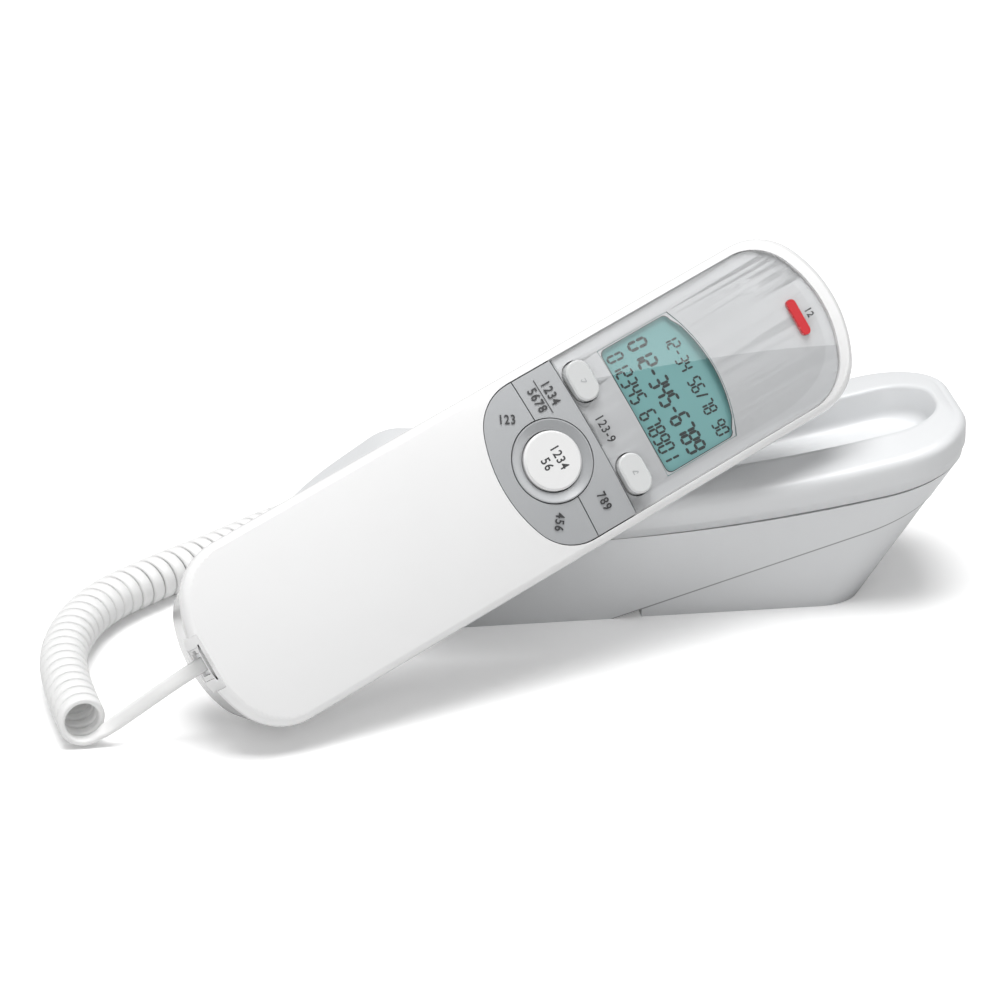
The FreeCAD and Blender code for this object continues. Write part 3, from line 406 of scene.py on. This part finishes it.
def clear_window(name):
    """Thin clear moulding: mostly see-through with a sharp gloss."""
    graph = Graph(name)
    through = graph.node("ShaderNodeBsdfTransparent", Color=(1, 1, 1, 1))
    normal = graph.crowned_normal()
    gloss = graph.node("ShaderNodeBsdfGlossy", Normal=normal)
    gloss.inputs["Roughness"].default_value = 0.012
    gloss.inputs["Color"].default_value = (1, 1, 1, 1)
    fresnel = graph.node("ShaderNodeFresnel", Normal=normal)
    fresnel.inputs["IOR"].default_value = 1.49
    mix = graph.node("ShaderNodeMixShader")
    haze = graph.noise(40.0)
    face = graph.node("ShaderNodeNewGeometry").outputs["True Normal"]
    outward = Value(graph, graph.vector("DOT_PRODUCT", face, normal, "Value"))
    front = 1 - graph.node_value("ShaderNodeNewGeometry", "Backfacing")
    graph.plug(mix.inputs[0], (Value(graph, fresnel.outputs[0]) + haze * 0.01) * outward.above(0.99) * front)
    graph.plug(mix.inputs[1], through.outputs[0])
    graph.plug(mix.inputs[2], gloss.outputs[0])
    return graph.finish(mix.outputs[0])


def plain_metal(name, colour, roughness=0.3):
    graph = Graph(name)
    drift = graph.noise(90.0)
    shader = graph.node("ShaderNodeBsdfPrincipled",
                        Base_Color=graph.tint(shade(colour, 0.92), shade(colour, 1.05), drift),
                        Roughness=drift * 0.12 + roughness)
    shader.inputs["Metallic"].default_value = 1.0
    return graph.finish(shader.outputs[0])


def display_surface(name, colour):
    """Liquid crystal panel: green grey with a slight drift and a fine glass gloss."""
    graph = Graph(name)
    drift = graph.noise(25.0)
    shader = graph.node("ShaderNodeBsdfPrincipled",
                        Base_Color=graph.tint(shade(colour, 0.95), shade(colour, 1.06), drift),
                        Roughness=drift * 0.05 + 0.2)
    return graph.finish(shader.outputs[0])


# Mesh helpers

def new_piece(name, bm, material, body=None):
    """Object from a finished bmesh; it rides on the body, or on none where it blends across a joint."""
    mesh = bpy.data.meshes.new(name)
    bm.to_mesh(mesh)
    bm.free()
    piece = bpy.data.objects.new(name, mesh)
    bpy.context.scene.collection.objects.link(piece)
    piece.data.materials.append(material)
    if body:
        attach(piece, body)
    return piece


def face_point(x, y, lift):
    """Point over the crowned display face, from handset millimetres to the world."""
    x, y, lift = x * MM, y * MM, lift * MM
    drop = FACE_CROWN - math.sqrt(FACE_CROWN ** 2 - y ** 2)
    return HANDSET @ Vector((x, y, lift - drop))


def front_level(name):
    """How far a node reaches out of the display face, in handset millimetres."""
    back = HANDSET.inverted()
    return max((back @ vertex.co).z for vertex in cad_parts[name].data.vertices) / MM


def rounded_ring(left, right, half, corner):
    """Round-cornered outline from the right end's middle round by +Y, symmetric about X."""
    inner = half - corner
    upper = [(right, inner * step / 3) for step in range(3)]
    for step in range(12):
        angle = math.pi / 2 * step / 12
        upper.append((right - corner + corner * math.cos(angle), inner + corner * math.sin(angle)))
    upper += [(right - corner + (left - right + 2 * corner) * step / 90, half) for step in range(90)]
    for step in range(12):
        angle = math.pi / 2 * step / 12
        upper.append((left + corner - corner * math.sin(angle), inner + corner * math.cos(angle)))
    upper += [(left, inner * (1 - step / 3)) for step in range(4)]
    return upper + [(x, -y) for x, y in reversed(upper[1:-1])]


def drawn_in(shape, inset):
    left, right, half, corner = shape
    return left + inset, right - inset, half - inset, max(corner - inset, 0.3)


def between(first, second, share):
    return tuple(a + (b - a) * share for a, b in zip(first, second))


def rim_height(x):
    """Height of the rim: the ramp at the mouthpiece end, its soft brow and the saddle beyond it."""
    def saddle(place):
        return RIM_LOW_Z + RIM_ARC - math.sqrt(RIM_ARC ** 2 - (place - RIM_LOW_X) ** 2)

    ramp = saddle(RAMP_TOP_X) - RAMP_SLOPE * (RAMP_TOP_X - x)
    overlap = max(RAMP_ROUND - abs(saddle(x) - ramp), 0) / RAMP_ROUND
    return min(saddle(x), ramp) - overlap ** 2 * RAMP_ROUND / 4


def ring_at(shape, drop):
    return [Vector((x, y, max(rim_height(x) - drop, 0.4))) * MM for x, y in rounded_ring(*shape)]


def skirt_ring(drop, proud):
    """Ring that hugs the tapering housing below the band."""
    ring = []
    for index, (x, _) in enumerate(rounded_ring(*RIM)):
        height = max(rim_height(x) - drop, 0.4)
        low = [size + lean * height for size, lean in zip(FOOT, FOOT_LEAN)]
        place = rounded_ring(*drawn_in(low, -proud))[index]
        ring.append(Vector((*place, height)) * MM)
    return ring


def skin(bm, rows):
    """Faces between each closed row of vertices and the next."""
    for near, far in zip(rows, rows[1:]):
        for index in range(len(near)):
            other = (index + 1) % len(near)
            bm.faces.new((near[index], near[other], far[other], far[index]))


def smoothed(bm):
    bmesh.ops.recalc_face_normals(bm, faces=bm.faces)
    for face in bm.faces:
        face.smooth = True
    return bm


def loft(rings):
    """Closed skin over rings that are symmetric about X, with both ends filled across."""
    bm = bmesh.new()
    rows = [[bm.verts.new(point) for point in ring] for ring in rings]
    count = len(rows[0])
    skin(bm, rows)
    for row in (rows[0], rows[-1]):
        for index in range(1, count // 2 - 1):
            bm.faces.new((row[index], row[index + 1], row[-index - 1], row[-index]))
        bm.faces.new((row[0], row[1], row[-1]))
        middle = count // 2
        bm.faces.new((row[middle - 1], row[middle], row[middle + 1]))
    return smoothed(bm)


def stroke(bm, start, end, width, place):
    """Flat bar with pointed ends between two points; place turns a flat point into the world."""
    ahead = (Vector(end) - Vector(start)).normalized()
    aside = Vector((-ahead.y, ahead.x)) * width / 2
    near, far = Vector(start) + ahead * width / 2, Vector(end) - ahead * width / 2
    outline = (Vector(start), near - aside, far - aside, Vector(end), far + aside, near + aside)
    bm.faces.new([bm.verts.new(place(*point)) for point in outline])


def lettering(name, text, size, x, y, lift, material, turn=0.0, condense=0.82, behind=False):
    """Printed characters on the display face, read towards -y, or behind it on the keypad side."""
    curve = bpy.data.curves.new(name, "FONT")
    curve.body = text
    curve.size = size
    curve.align_x, curve.align_y = "CENTER", "CENTER"
    curve.offset = 0.075
    curve.space_word = 0.3
    curve.resolution_u = 4
    holder = bpy.data.objects.new(name, curve)
    bpy.context.scene.collection.objects.link(holder)
    mesh = bpy.data.meshes.new_from_object(holder)
    bpy.data.objects.remove(holder)
    bm = bmesh.new()
    bm.from_mesh(mesh)
    bpy.data.meshes.remove(mesh)
    swing = Matrix.Rotation(turn, 2)
    for vertex in bm.verts:
        across, up = swing @ Vector((vertex.co.x * condense, vertex.co.y))
        if behind:
            vertex.co = HANDSET @ (Vector((x + up, y + across, lift)) * MM)
        else:
            vertex.co = face_point(x + up, y - across, lift)
    return new_piece(name, bm, material, "handset")


def route_points(name, points):
    """Even line read from a smooth spline that has these control points."""
    curve = bpy.data.curves.new(name, "CURVE")
    curve.dimensions = "3D"
    curve.resolution_u = 12
    spline = curve.splines.new("NURBS")
    spline.points.add(len(points) - 1)
    for point, place in zip(spline.points, points):
        point.co = (*place, 1)
    spline.order_u = 3
    spline.use_endpoint_u = True
    holder = bpy.data.objects.new(name, curve)
    bpy.context.scene.collection.objects.link(holder)
    mesh = bpy.data.meshes.new_from_object(holder)
    line = [vertex.co.copy() for vertex in mesh.vertices]
    bpy.data.objects.remove(holder)
    bpy.data.curves.remove(curve)
    bpy.data.meshes.remove(mesh)
    return line


class Line:
    """A polyline that gives its point and direction at any distance."""

    def __init__(self, points):
        self.points = points
        self.marks = [0.0]
        for first, second in zip(points, points[1:]):
            self.marks.append(self.marks[-1] + (second - first).length)
        self.length = self.marks[-1]

    def at(self, distance):
        distance = min(max(distance, 0.0), self.length * 0.999999)
        index = 0
        while self.marks[index + 1] < distance:
            index += 1
        first, second = self.points[index], self.points[index + 1]
        share = (distance - self.marks[index]) / (self.marks[index + 1] - self.marks[index])
        return first.lerp(second, share), (second - first).normalized()


# Operators, one for each piece or group of like pieces

class PHONE_OT_camera(bpy.types.Operator):
    """Set the camera at the photograph's viewing angle"""
    bl_idname = "phone.camera"
    bl_label = "Camera"

    def execute(self, context):
        settings = context.scene.phone_stage
        camera = bpy.data.cameras.new("camera")
        camera.sensor_width = 36.0
        camera.lens = settings.lens_length
        camera.clip_start = 0.05
        holder = bpy.data.objects.new("camera", camera)
        context.scene.collection.objects.link(holder)
        level = math.cos(CAMERA_ELEVATION)
        forward = Vector((math.sin(CAMERA_AZIMUTH) * level, math.cos(CAMERA_AZIMUTH) * level,
                          -math.sin(CAMERA_ELEVATION)))
        right = Vector((math.cos(CAMERA_AZIMUTH), -math.sin(CAMERA_AZIMUTH), 0))
        up = right.cross(forward)
        matrix = Matrix((right, up, -forward)).transposed().to_4x4()
        matrix.translation = CAMERA_PLACE
        holder.matrix_world = matrix
        context.scene.camera = holder
        return {"FINISHED"}


class PHONE_OT_cord(bpy.types.Operator):
    """Make the flat coiled cord from the base's socket to the handset's"""
    bl_idname = "phone.cord"
    bl_label = "Cord"

    def execute(self, context):
        settings = context.scene.phone_cord
        route = Line(route_points("coil_route", [Vector((x, y, COIL_AXIS_Z)) * MM for x, y in COIL_ROUTE]))
        curls = self.curls(route, settings)
        plug = HANDSET @ (Vector(PLUG_TIP) * MM)
        pull = (HANDSET.to_3x3() @ Vector((1, 0, 0))).normalized()
        leaving = (curls[-1] - curls[-2]).normalized()
        head = [Vector(point) * MM for point in BASE_TAIL]
        foot = [curls[-1] + leaving * TAIL_RUN * MM, plug - pull * TAIL_RUN * MM, plug]
        line = Line(route_points("cord_route", head + curls + foot))
        path = line.points
        bm = self.ribbon(path, route, (nearest(path, curls[0]), nearest(path, curls[-1])), settings)
        material = moulded("cord_vinyl", (0.86, 0.86, 0.855), 0.38, 0.1, 0.03)
        cord = new_piece("coiled_cord", bm, material)
        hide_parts("cord_coil", "cord_base_tail", "cord_handset_tail")
        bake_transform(cord)
        return {"FINISHED"}

    def curls(self, route, settings):
        """Points of the coil round its axis."""
        steps = CURL_STEPS * settings.turns + 2
        points = []
        for index in range(steps + 1):
            centre, ahead = route.at(route.length * index / steps)
            side = ahead.cross(UP).normalized()
            around = -math.pi / 2 - 2 * math.pi * index / CURL_STEPS
            points.append(centre + (side * math.cos(around) + UP * math.sin(around)) * settings.radius)
        return points

    def broads(self, directions, route, coil):
        """The ribbon's broad direction at each point: along the coil's axis, then flat to the handset."""
        first, last = coil
        count = len(directions)
        broads = [None] * count
        for index in range(first, last + 1):
            _, ahead = route.at(route.length * (index - first) / max(1, last - first))
            broads[index] = across_of(ahead, directions[index])
        for index in range(first - 1, -1, -1):
            broads[index] = across_of(broads[index + 1], directions[index])
        flat = HANDSET.to_3x3() @ Vector((0, 1, 0))
        if broads[last].dot(flat) < 0:
            flat = -flat
        for index in range(last + 1, count):
            share = min(1.0, (index - last) / (count - 1 - last) * 2.5)
            broads[index] = across_of(broads[last].lerp(flat, share), directions[index])
        return broads

    def ribbon(self, path, route, coil, settings):
        """Skin of the flat cord along its path, closed at both ends."""
        ahead = path[1:] + path[-1:]
        behind = path[:1] + path[:-1]
        directions = [(after - before).normalized() for before, after in zip(behind, ahead)]
        section = ribbon_section(settings.width / 2, settings.thickness / 2)
        bm = bmesh.new()
        rings = []
        for point, direction, broad in zip(path, directions, self.broads(directions, route, coil)):
            thin = direction.cross(broad).normalized()
            rings.append([bm.verts.new(point + broad * u + thin * v) for u, v in section])
        skin(bm, rings)
        bm.faces.new(list(reversed(rings[0])))
        bm.faces.new(rings[-1])
        return smoothed(bm)


def across_of(wanted, direction):
    return (wanted - direction * wanted.dot(direction)).normalized()


def nearest(points, place):
    return min(range(len(points)), key=lambda index: (points[index] - place).length_squared)


def ribbon_section(half_width, half_thick):
    """Outline of the flat cord: two flat sides and two round edges."""
    outline = []
    reach = half_width - half_thick
    for side in (1, -1):
        for step in range(5):
            angle = math.pi / 2 - math.pi * step / 4
            across = reach + half_thick * math.cos(angle)
            outline.append((side * across, side * half_thick * math.sin(angle)))
    return outline


def dress(names, material):
    for name in names:
        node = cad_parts[name]
        node.data.materials.clear()
        node.data.materials.append(material)


class PHONE_OT_shells(bpy.types.Operator):
    """Give the handset's and the base's mouldings their finishes"""
    bl_idname = "phone.shells"
    bl_label = "Shells"

    def execute(self, context):
        finish = context.scene.phone_finish
        white = moulded("handset_white", tuple(finish.handset_white), 0.22, 0.5, 0.01, crowned=True)
        dress(WHITE_NODES, white)
        # The base mouldings carry a painted shade line along the bracket's seam
        dress(BASE_NODES, moulded("base_white", tuple(finish.base_white), 0.42, 0.12, 0.012, seam_shade=True))
        return {"FINISHED"}


class PHONE_OT_cradle(bpy.types.Operator):
    """Make the rim and resting recess with the broad rising lip that the photograph shows"""
    bl_idname = "phone.cradle"
    bl_label = "Cradle"

    def execute(self, context):
        finish = context.scene.phone_finish
        rings = [ring_at(drawn_in(RIM, RIM[2] - 0.5 - reach), COVER_DEPTH)
                 for reach in (0, 6, 12, 18, 24, 29)]
        rings += [skirt_ring(COVER_DEPTH - 0.1, 0.1), skirt_ring(COVER_DEPTH - 0.1, 0.15)]
        rings += [ring_at(drawn_in(RIM, 0.5), BAND_DEPTH + 0.3), ring_at(RIM, BAND_DEPTH)]
        for step in range(9):
            angle = math.pi / 2 * step / 8
            inset, drop = RIM_ROLL * (1 - math.cos(angle)), RIM_ROLL * (1 - math.sin(angle))
            rings.append(ring_at(drawn_in(RIM, inset), drop))
        edge = drawn_in(RIM, RIM_ROLL)
        for share in (0.1, 0.3, 0.5, 0.7, 0.85, 1.0):
            rings.append(ring_at(between(edge, RECESS, share), -LIP_RISE * share ** 0.8))
        wall_drop = RECESS_DEPTH - 3.0
        rings += [ring_at(drawn_in(RECESS, inset), drop) for inset, drop in
                  ((0.5, 0.25 - LIP_RISE), (0.9, 0.9 - LIP_RISE), (1.6, wall_drop))]
        for step in range(1, 6):
            angle = math.pi / 2 * step / 5
            inset = 1.6 + 3.0 * (1 - math.cos(angle))
            rings.append(ring_at(drawn_in(RECESS, inset), wall_drop + 3.0 * math.sin(angle)))
        rings += [ring_at(drawn_in(RECESS, inset), RECESS_DEPTH) for inset in (8.0, 12.0, 15.5, 17.4)]
        material = moulded("cradle_white", tuple(finish.base_white), 0.42, 0.12, 0.012)
        cradle = new_piece("cradle_moulding", loft(rings), material, "base")
        cut_out(cradle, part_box("hook_plunger"), 0.4 * MM)
        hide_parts("cradle_cover")
        return {"FINISHED"}


def cut_out(piece, box, margin):
    """Upright opening through the cradle for a sliding piece."""
    low, high = Vector(box[0]), Vector(box[1])
    bm = bmesh.new()
    bmesh.ops.create_cube(bm, size=1.0)
    middle = (low + high) / 2
    size = high - low
    for vertex in bm.verts:
        vertex.co = Vector((middle.x + vertex.co.x * (size.x + 2 * margin),
                            middle.y + vertex.co.y * (size.y + 2 * margin),
                            middle.z + vertex.co.z * 0.08))
    mesh = bpy.data.meshes.new("opening")
    bm.to_mesh(mesh)
    bm.free()
    cutter = bpy.data.objects.new("opening", mesh)
    bpy.context.scene.collection.objects.link(cutter)
    modifier = piece.modifiers.new("opening", "BOOLEAN")
    modifier.object = cutter
    shape = piece.evaluated_get(bpy.context.evaluated_depsgraph_get())
    cut = bpy.data.meshes.new_from_object(shape)
    piece.modifiers.clear()
    piece.data = cut
    bpy.data.objects.remove(cutter)


def key_top(name):
    """Middle and outermost level of a keypad key, in handset millimetres."""
    back = HANDSET.inverted()
    points = [back @ vertex.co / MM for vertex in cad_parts[name].data.vertices]
    lows = [min(point[axis] for point in points) for axis in range(3)]
    highs = [max(point[axis] for point in points) for axis in range(3)]
    return (lows[0] + highs[0]) / 2, (lows[1] + highs[1]) / 2, lows[2]


class PHONE_OT_keys(bpy.types.Operator):
    """Give the keys, the key frame and the small movers their finishes"""
    bl_idname = "phone.keys"
    bl_label = "Keys"

    def execute(self, context):
        finish = context.scene.phone_finish
        white_keys = [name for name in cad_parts
                      if name.startswith("dial_key_") and name != "dial_key_mat"]
        white_keys += ["redial_key", "mute_key", "hook_plunger", "ringer_slide"]
        dress(white_keys, moulded("dial_key_white", (0.84, 0.84, 0.84), 0.3, 0.2))
        dress(("round_key",), moulded("round_key_white", (0.86, 0.86, 0.86), 0.15, 0.7))
        dress(("scroll_up_key", "scroll_down_key"),
              moulded("scroll_key_pearl", (0.70, 0.71, 0.71), 0.15, 0.8))
        mark = moulded("scroll_mark_grey", (0.42, 0.43, 0.44), 0.3, 0.2)
        for (name, x, y), way in zip(SCROLL_KEYS, (-1, 1)):
            bm = bmesh.new()
            corners = [(x + way * 0.9, y), (x - way * 0.7, y + 0.9), (x - way * 0.7, y - 0.9)]
            lift = front_level(name) + face_drop(y) + 0.03
            for start, end in zip(corners, corners[1:] + corners[:1]):
                stroke(bm, start, end, 0.28, lambda a, b: face_point(a, b, lift))
            new_piece(name.replace("key", "mark"), bm, mark, name)
        dress(("upper_rocker_key", "lower_rocker_key"),
              satin_metallic("rocker_silver", tuple(finish.key_silver)))
        dress(("key_frame",), satin_metallic("ring_silver", tuple(finish.key_silver), 0.25))
        ink = moulded("label_ink", (0.03, 0.03, 0.032), 0.5, 0.0)
        for index, (text, size, x, y, turn, body) in enumerate(LABELS):
            lift = PRINT_LIFT if body != "round_key" else front_level("round_key") + face_drop(y) + 0.04
            piece = lettering("label_%d" % (index + 1), text, size, x, y, lift, ink, math.radians(turn))
            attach(piece, body)
        for index, sign in enumerate("123456789*0#"):
            name = "dial_key_" + {"*": "star", "#": "hash"}.get(DIAL_ORDER[index], DIAL_ORDER[index])
            x, y, level = key_top(name)
            piece = lettering("dial_number_%d" % (index + 1), sign, NUMBER_SIZE, x, y, level - 0.04, ink,
                              behind=True)
            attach(piece, name)
        bm = bmesh.new()
        stroke(bm, (15.5, 23.0), (15.5, 11.8), 0.22, lambda x, y: face_point(x, y, PRINT_LIFT))
        new_piece("label_rule", bm, ink, "upper_rocker_key")
        return {"FINISHED"}


class PHONE_OT_panel(bpy.types.Operator):
    """Give the display window, its printed sheet, the panel and the lamp their finishes"""
    bl_idname = "phone.panel"
    bl_label = "Display panel"

    def execute(self, context):
        finish = context.scene.phone_finish
        dress(("display_lens",), clear_window("clear_lens"))
        silver = printed_sheet("mask_silver", tuple(finish.panel_silver))
        dress(("display_mask",), silver)
        dark = moulded("painted_edge_shade", (0.05, 0.07, 0.07), 0.4, 0.1)
        self.window_band("display_border", (0.15, 0.4), (0.4, WINDOW_CORNER), silver, "panel_silver")
        # Painted shade: a thin dark band where the window's edge falls into shade
        self.window_band("display_edge_shade", (0.4, WINDOW_CORNER), (0.65, WINDOW_CORNER), dark, "display_glass")
        self.digits()
        dress(("display_module",), display_surface("display_glass", tuple(finish.display_green)))
        dress(("in_use_lamp",), moulded("lamp_red", tuple(finish.lamp_red), 0.6, 0.0))
        return {"FINISHED"}

    def window_band(self, name, outside, inside, material, slot):
        """Flat band round the liquid crystal panel between two outlines, each an inset and a corner round;
        the dark band is painted shade at the window's edge.
        """
        bm = bmesh.new()
        outer, inner = window_outline(*outside), window_outline(*inside)
        rows = [[bm.verts.new(face_point(x, y, -1.3)) for x, y in line] for line in (outer, inner)]
        skin(bm, rows)
        bmesh.ops.recalc_face_normals(bm, faces=bm.faces)
        new_piece(name, bm, material, "handset")

    def digits(self):
        """Lit segments of the liquid crystal panel: generic digits in three rows."""
        bm = bmesh.new()
        level = front_level("display_module") + 0.03
        for text, x, start, pitch, width, height, weight in DISPLAY_ROWS:
            for index, sign in enumerate(text):
                left = start - pitch * index

                def place(across, up, left=left):
                    return HANDSET @ (Vector((x + up, left - across - up * 0.06, level)) * MM)

                for first, second in SEGMENTS[sign]:
                    corners = [(u * width, (v - 1) * height / 2) for u, v in (first, second)]
                    stroke(bm, *shortened(*corners, 0.06), weight, place)
        ink = moulded("display_segments", (0.012, 0.02, 0.02), 0.35, 0.0)
        new_piece("display_digits", bm, ink, "handset")


def shortened(start, end, gap):
    step = (Vector(end) - Vector(start)).normalized() * gap
    return tuple(Vector(start) + step), tuple(Vector(end) - step)


def face_drop(y):
    """How far the crown falls below its ridge at one side place, in millimetres."""
    radius = FACE_CROWN / MM
    return radius - math.sqrt(radius ** 2 - y ** 2)


def window_outline(inset, corner):
    """The display window's outline: three straight sides and one bowed, with round corners."""
    half = WINDOW_HALF - inset
    low, high = WINDOW_LOW_X + inset, WINDOW_HIGH_X - inset
    line = []
    for step in range(7):
        angle = math.pi / 2 * step / 6
        line.append((low + corner * (1 - math.cos(angle)), half - corner + corner * math.sin(angle)))
    for step in range(7):
        angle = math.pi / 2 * step / 6
        line.append((high - corner * (1 - math.sin(angle)), half - corner + corner * math.cos(angle)))
    for step in range(1, 12):
        y = (half - corner) * (1 - step / 6)
        line.append((high + WINDOW_BOW * (1 - (y / half) ** 2), y))
    mirrored = [(x, -y) for x, y in reversed(line[:14])]
    return line + mirrored


class PHONE_OT_inside(bpy.types.Operator):
    """Give the pieces inside and underneath their finishes"""
    bl_idname = "phone.inside"
    bl_label = "Inner pieces"

    def execute(self, context):
        dress(("base_circuit_board", "display_board", "main_board"),
              moulded("solder_mask_green", (0.03, 0.16, 0.07), 0.35, 0.3))
        dress(("panel_key_mat", "dial_key_mat"), moulded("silicone_grey", (0.35, 0.35, 0.36), 0.6, 0.0))
        dress(("rubber_feet",), moulded("foot_rubber", (0.03, 0.03, 0.032), 0.75, 0.0, 0.1))
        dress(("cord_jack", "line_jack", "hook_switch", "ringer_sounder", "receiver_capsule"),
              moulded("black_nylon", (0.02, 0.02, 0.022), 0.5, 0.0))
        dress(("handset_jack",), moulded("handset_jack_white", (0.84, 0.84, 0.84), 0.4, 0.1))
        dress(("base_weight", "base_screws", "handset_screws", "microphone"),
              plain_metal("zinc_steel", (0.55, 0.56, 0.57)))
        dress(("base_plug", "handset_plug"), moulded("plug_clear", (0.84, 0.85, 0.86), 0.12, 0.6))
        return {"FINISHED"}


class PHONE_OT_stage(bpy.types.Operator):
    """Set the floor and the soft studio lamps"""
    bl_idname = "phone.stage"
    bl_label = "Stage"

    def execute(self, context):
        settings = context.scene.phone_stage
        bm = bmesh.new()
        bmesh.ops.create_grid(bm, x_segments=1, y_segments=1, size=6.0)
        mesh = bpy.data.meshes.new("floor")
        bm.to_mesh(mesh)
        bm.free()
        floor = bpy.data.objects.new("floor", mesh)
        context.scene.collection.objects.link(floor)
        floor.data.materials.append(floor_material())
        world = bpy.data.worlds.new("studio")
        context.scene.world = world
        world.use_nodes = True
        world.node_tree.nodes["Background"].inputs[0].default_value = (1, 1, 1, 1)
        world.node_tree.nodes["Background"].inputs[1].default_value = settings.sky
        self.lamp(context, "overhead", settings.overhead, (-0.1, 0.0, 3.0), (0, -0.02, 0), 2.0)
        self.lamp(context, "fill", settings.fill, (-0.9, -1.6, 0.35), (0, -0.02, 0.03), 0.9)
        card = self.lamp(context, "window_card", settings.card, (0, 0, 0), (0, 0, 0), 1.0)
        card.matrix_world = card_matrix()
        card.data.shape = "RECTANGLE"
        card.data.size, card.data.size_y = CARD_SIZE
        card.visible_diffuse = False
        context.scene.view_settings.view_transform = "Standard"
        return {"FINISHED"}

    def lamp(self, context, name, power, place, target, size):
        light = bpy.data.lights.new(name, "AREA")
        light.energy = power
        light.size = size
        holder = bpy.data.objects.new(name, light)
        context.scene.collection.objects.link(holder)
        holder.location = place
        aim = Vector(target) - Vector(place)
        if aim.length > 0:
            holder.rotation_euler = aim.to_track_quat("-Z", "Y").to_euler()
        return holder


def card_matrix():
    """Place of the mirrored card: its lower edge runs through the two points and it faces the window."""
    left, right = CARD_EDGE
    middle = (left + right) / 2
    along = (right - left).normalized()
    rise = along.cross((face_point(MIRROR_X, 0, 0) - middle).normalized()).normalized()
    matrix = Matrix((along, rise, along.cross(rise).normalized())).transposed().to_4x4()
    matrix.translation = middle + rise * CARD_SIZE[1] / 2
    return matrix


def floor_material():
    """Floor that is white to the camera and grey to the light that it sends back."""
    graph = Graph("floor_white")
    seen = graph.node("ShaderNodeAddShader")
    graph.plug(seen.inputs[0], graph.node("ShaderNodeBsdfDiffuse", Color=(0.95, 0.95, 0.95, 1)).outputs[0])
    graph.plug(seen.inputs[1], graph.node("ShaderNodeEmission", Strength=0.18).outputs[0])
    bounce = graph.node("ShaderNodeBsdfDiffuse", Color=(0.72, 0.72, 0.72, 1))
    mix = graph.node("ShaderNodeMixShader")
    graph.plug(mix.inputs[0], graph.node("ShaderNodeLightPath").outputs["Is Camera Ray"])
    graph.plug(mix.inputs[1], bounce.outputs[0])
    graph.plug(mix.inputs[2], seen.outputs[0])
    return graph.finish(mix.outputs[0])


class PHONE_PT_panel(bpy.types.Panel):
    """Lists the steps that dress the telephone"""
    bl_idname = "PHONE_PT_panel"
    bl_label = "Telephone"
    bl_space_type = "VIEW_3D"
    bl_region_type = "UI"
    bl_category = "Telephone"

    def draw(self, context):
        for operator in OPERATORS:
            self.layout.operator(operator.bl_idname)


SETTINGS = {"phone_cord": CordSettings, "phone_finish": FinishSettings, "phone_stage": StageSettings}
OPERATORS = (PHONE_OT_camera, PHONE_OT_cord, PHONE_OT_shells, PHONE_OT_cradle, PHONE_OT_keys, PHONE_OT_panel,
             PHONE_OT_inside, PHONE_OT_stage)


def register():
    for group in SETTINGS.values():
        bpy.utils.register_class(group)
    for name, group in SETTINGS.items():
        setattr(bpy.types.Scene, name, PointerProperty(type=group))
    for kind in (*OPERATORS, PHONE_PT_panel):
        bpy.utils.register_class(kind)


def unregister():
    for kind in (PHONE_PT_panel, *reversed(OPERATORS)):
        bpy.utils.unregister_class(kind)
    for name, group in SETTINGS.items():
        delattr(bpy.types.Scene, name)
        bpy.utils.unregister_class(group)


def main():
    register()
    for operator in OPERATORS:
        area, name = operator.bl_idname.split(".")
        getattr(getattr(bpy.ops, area), name)()


if __name__ == "__main__":
    main()
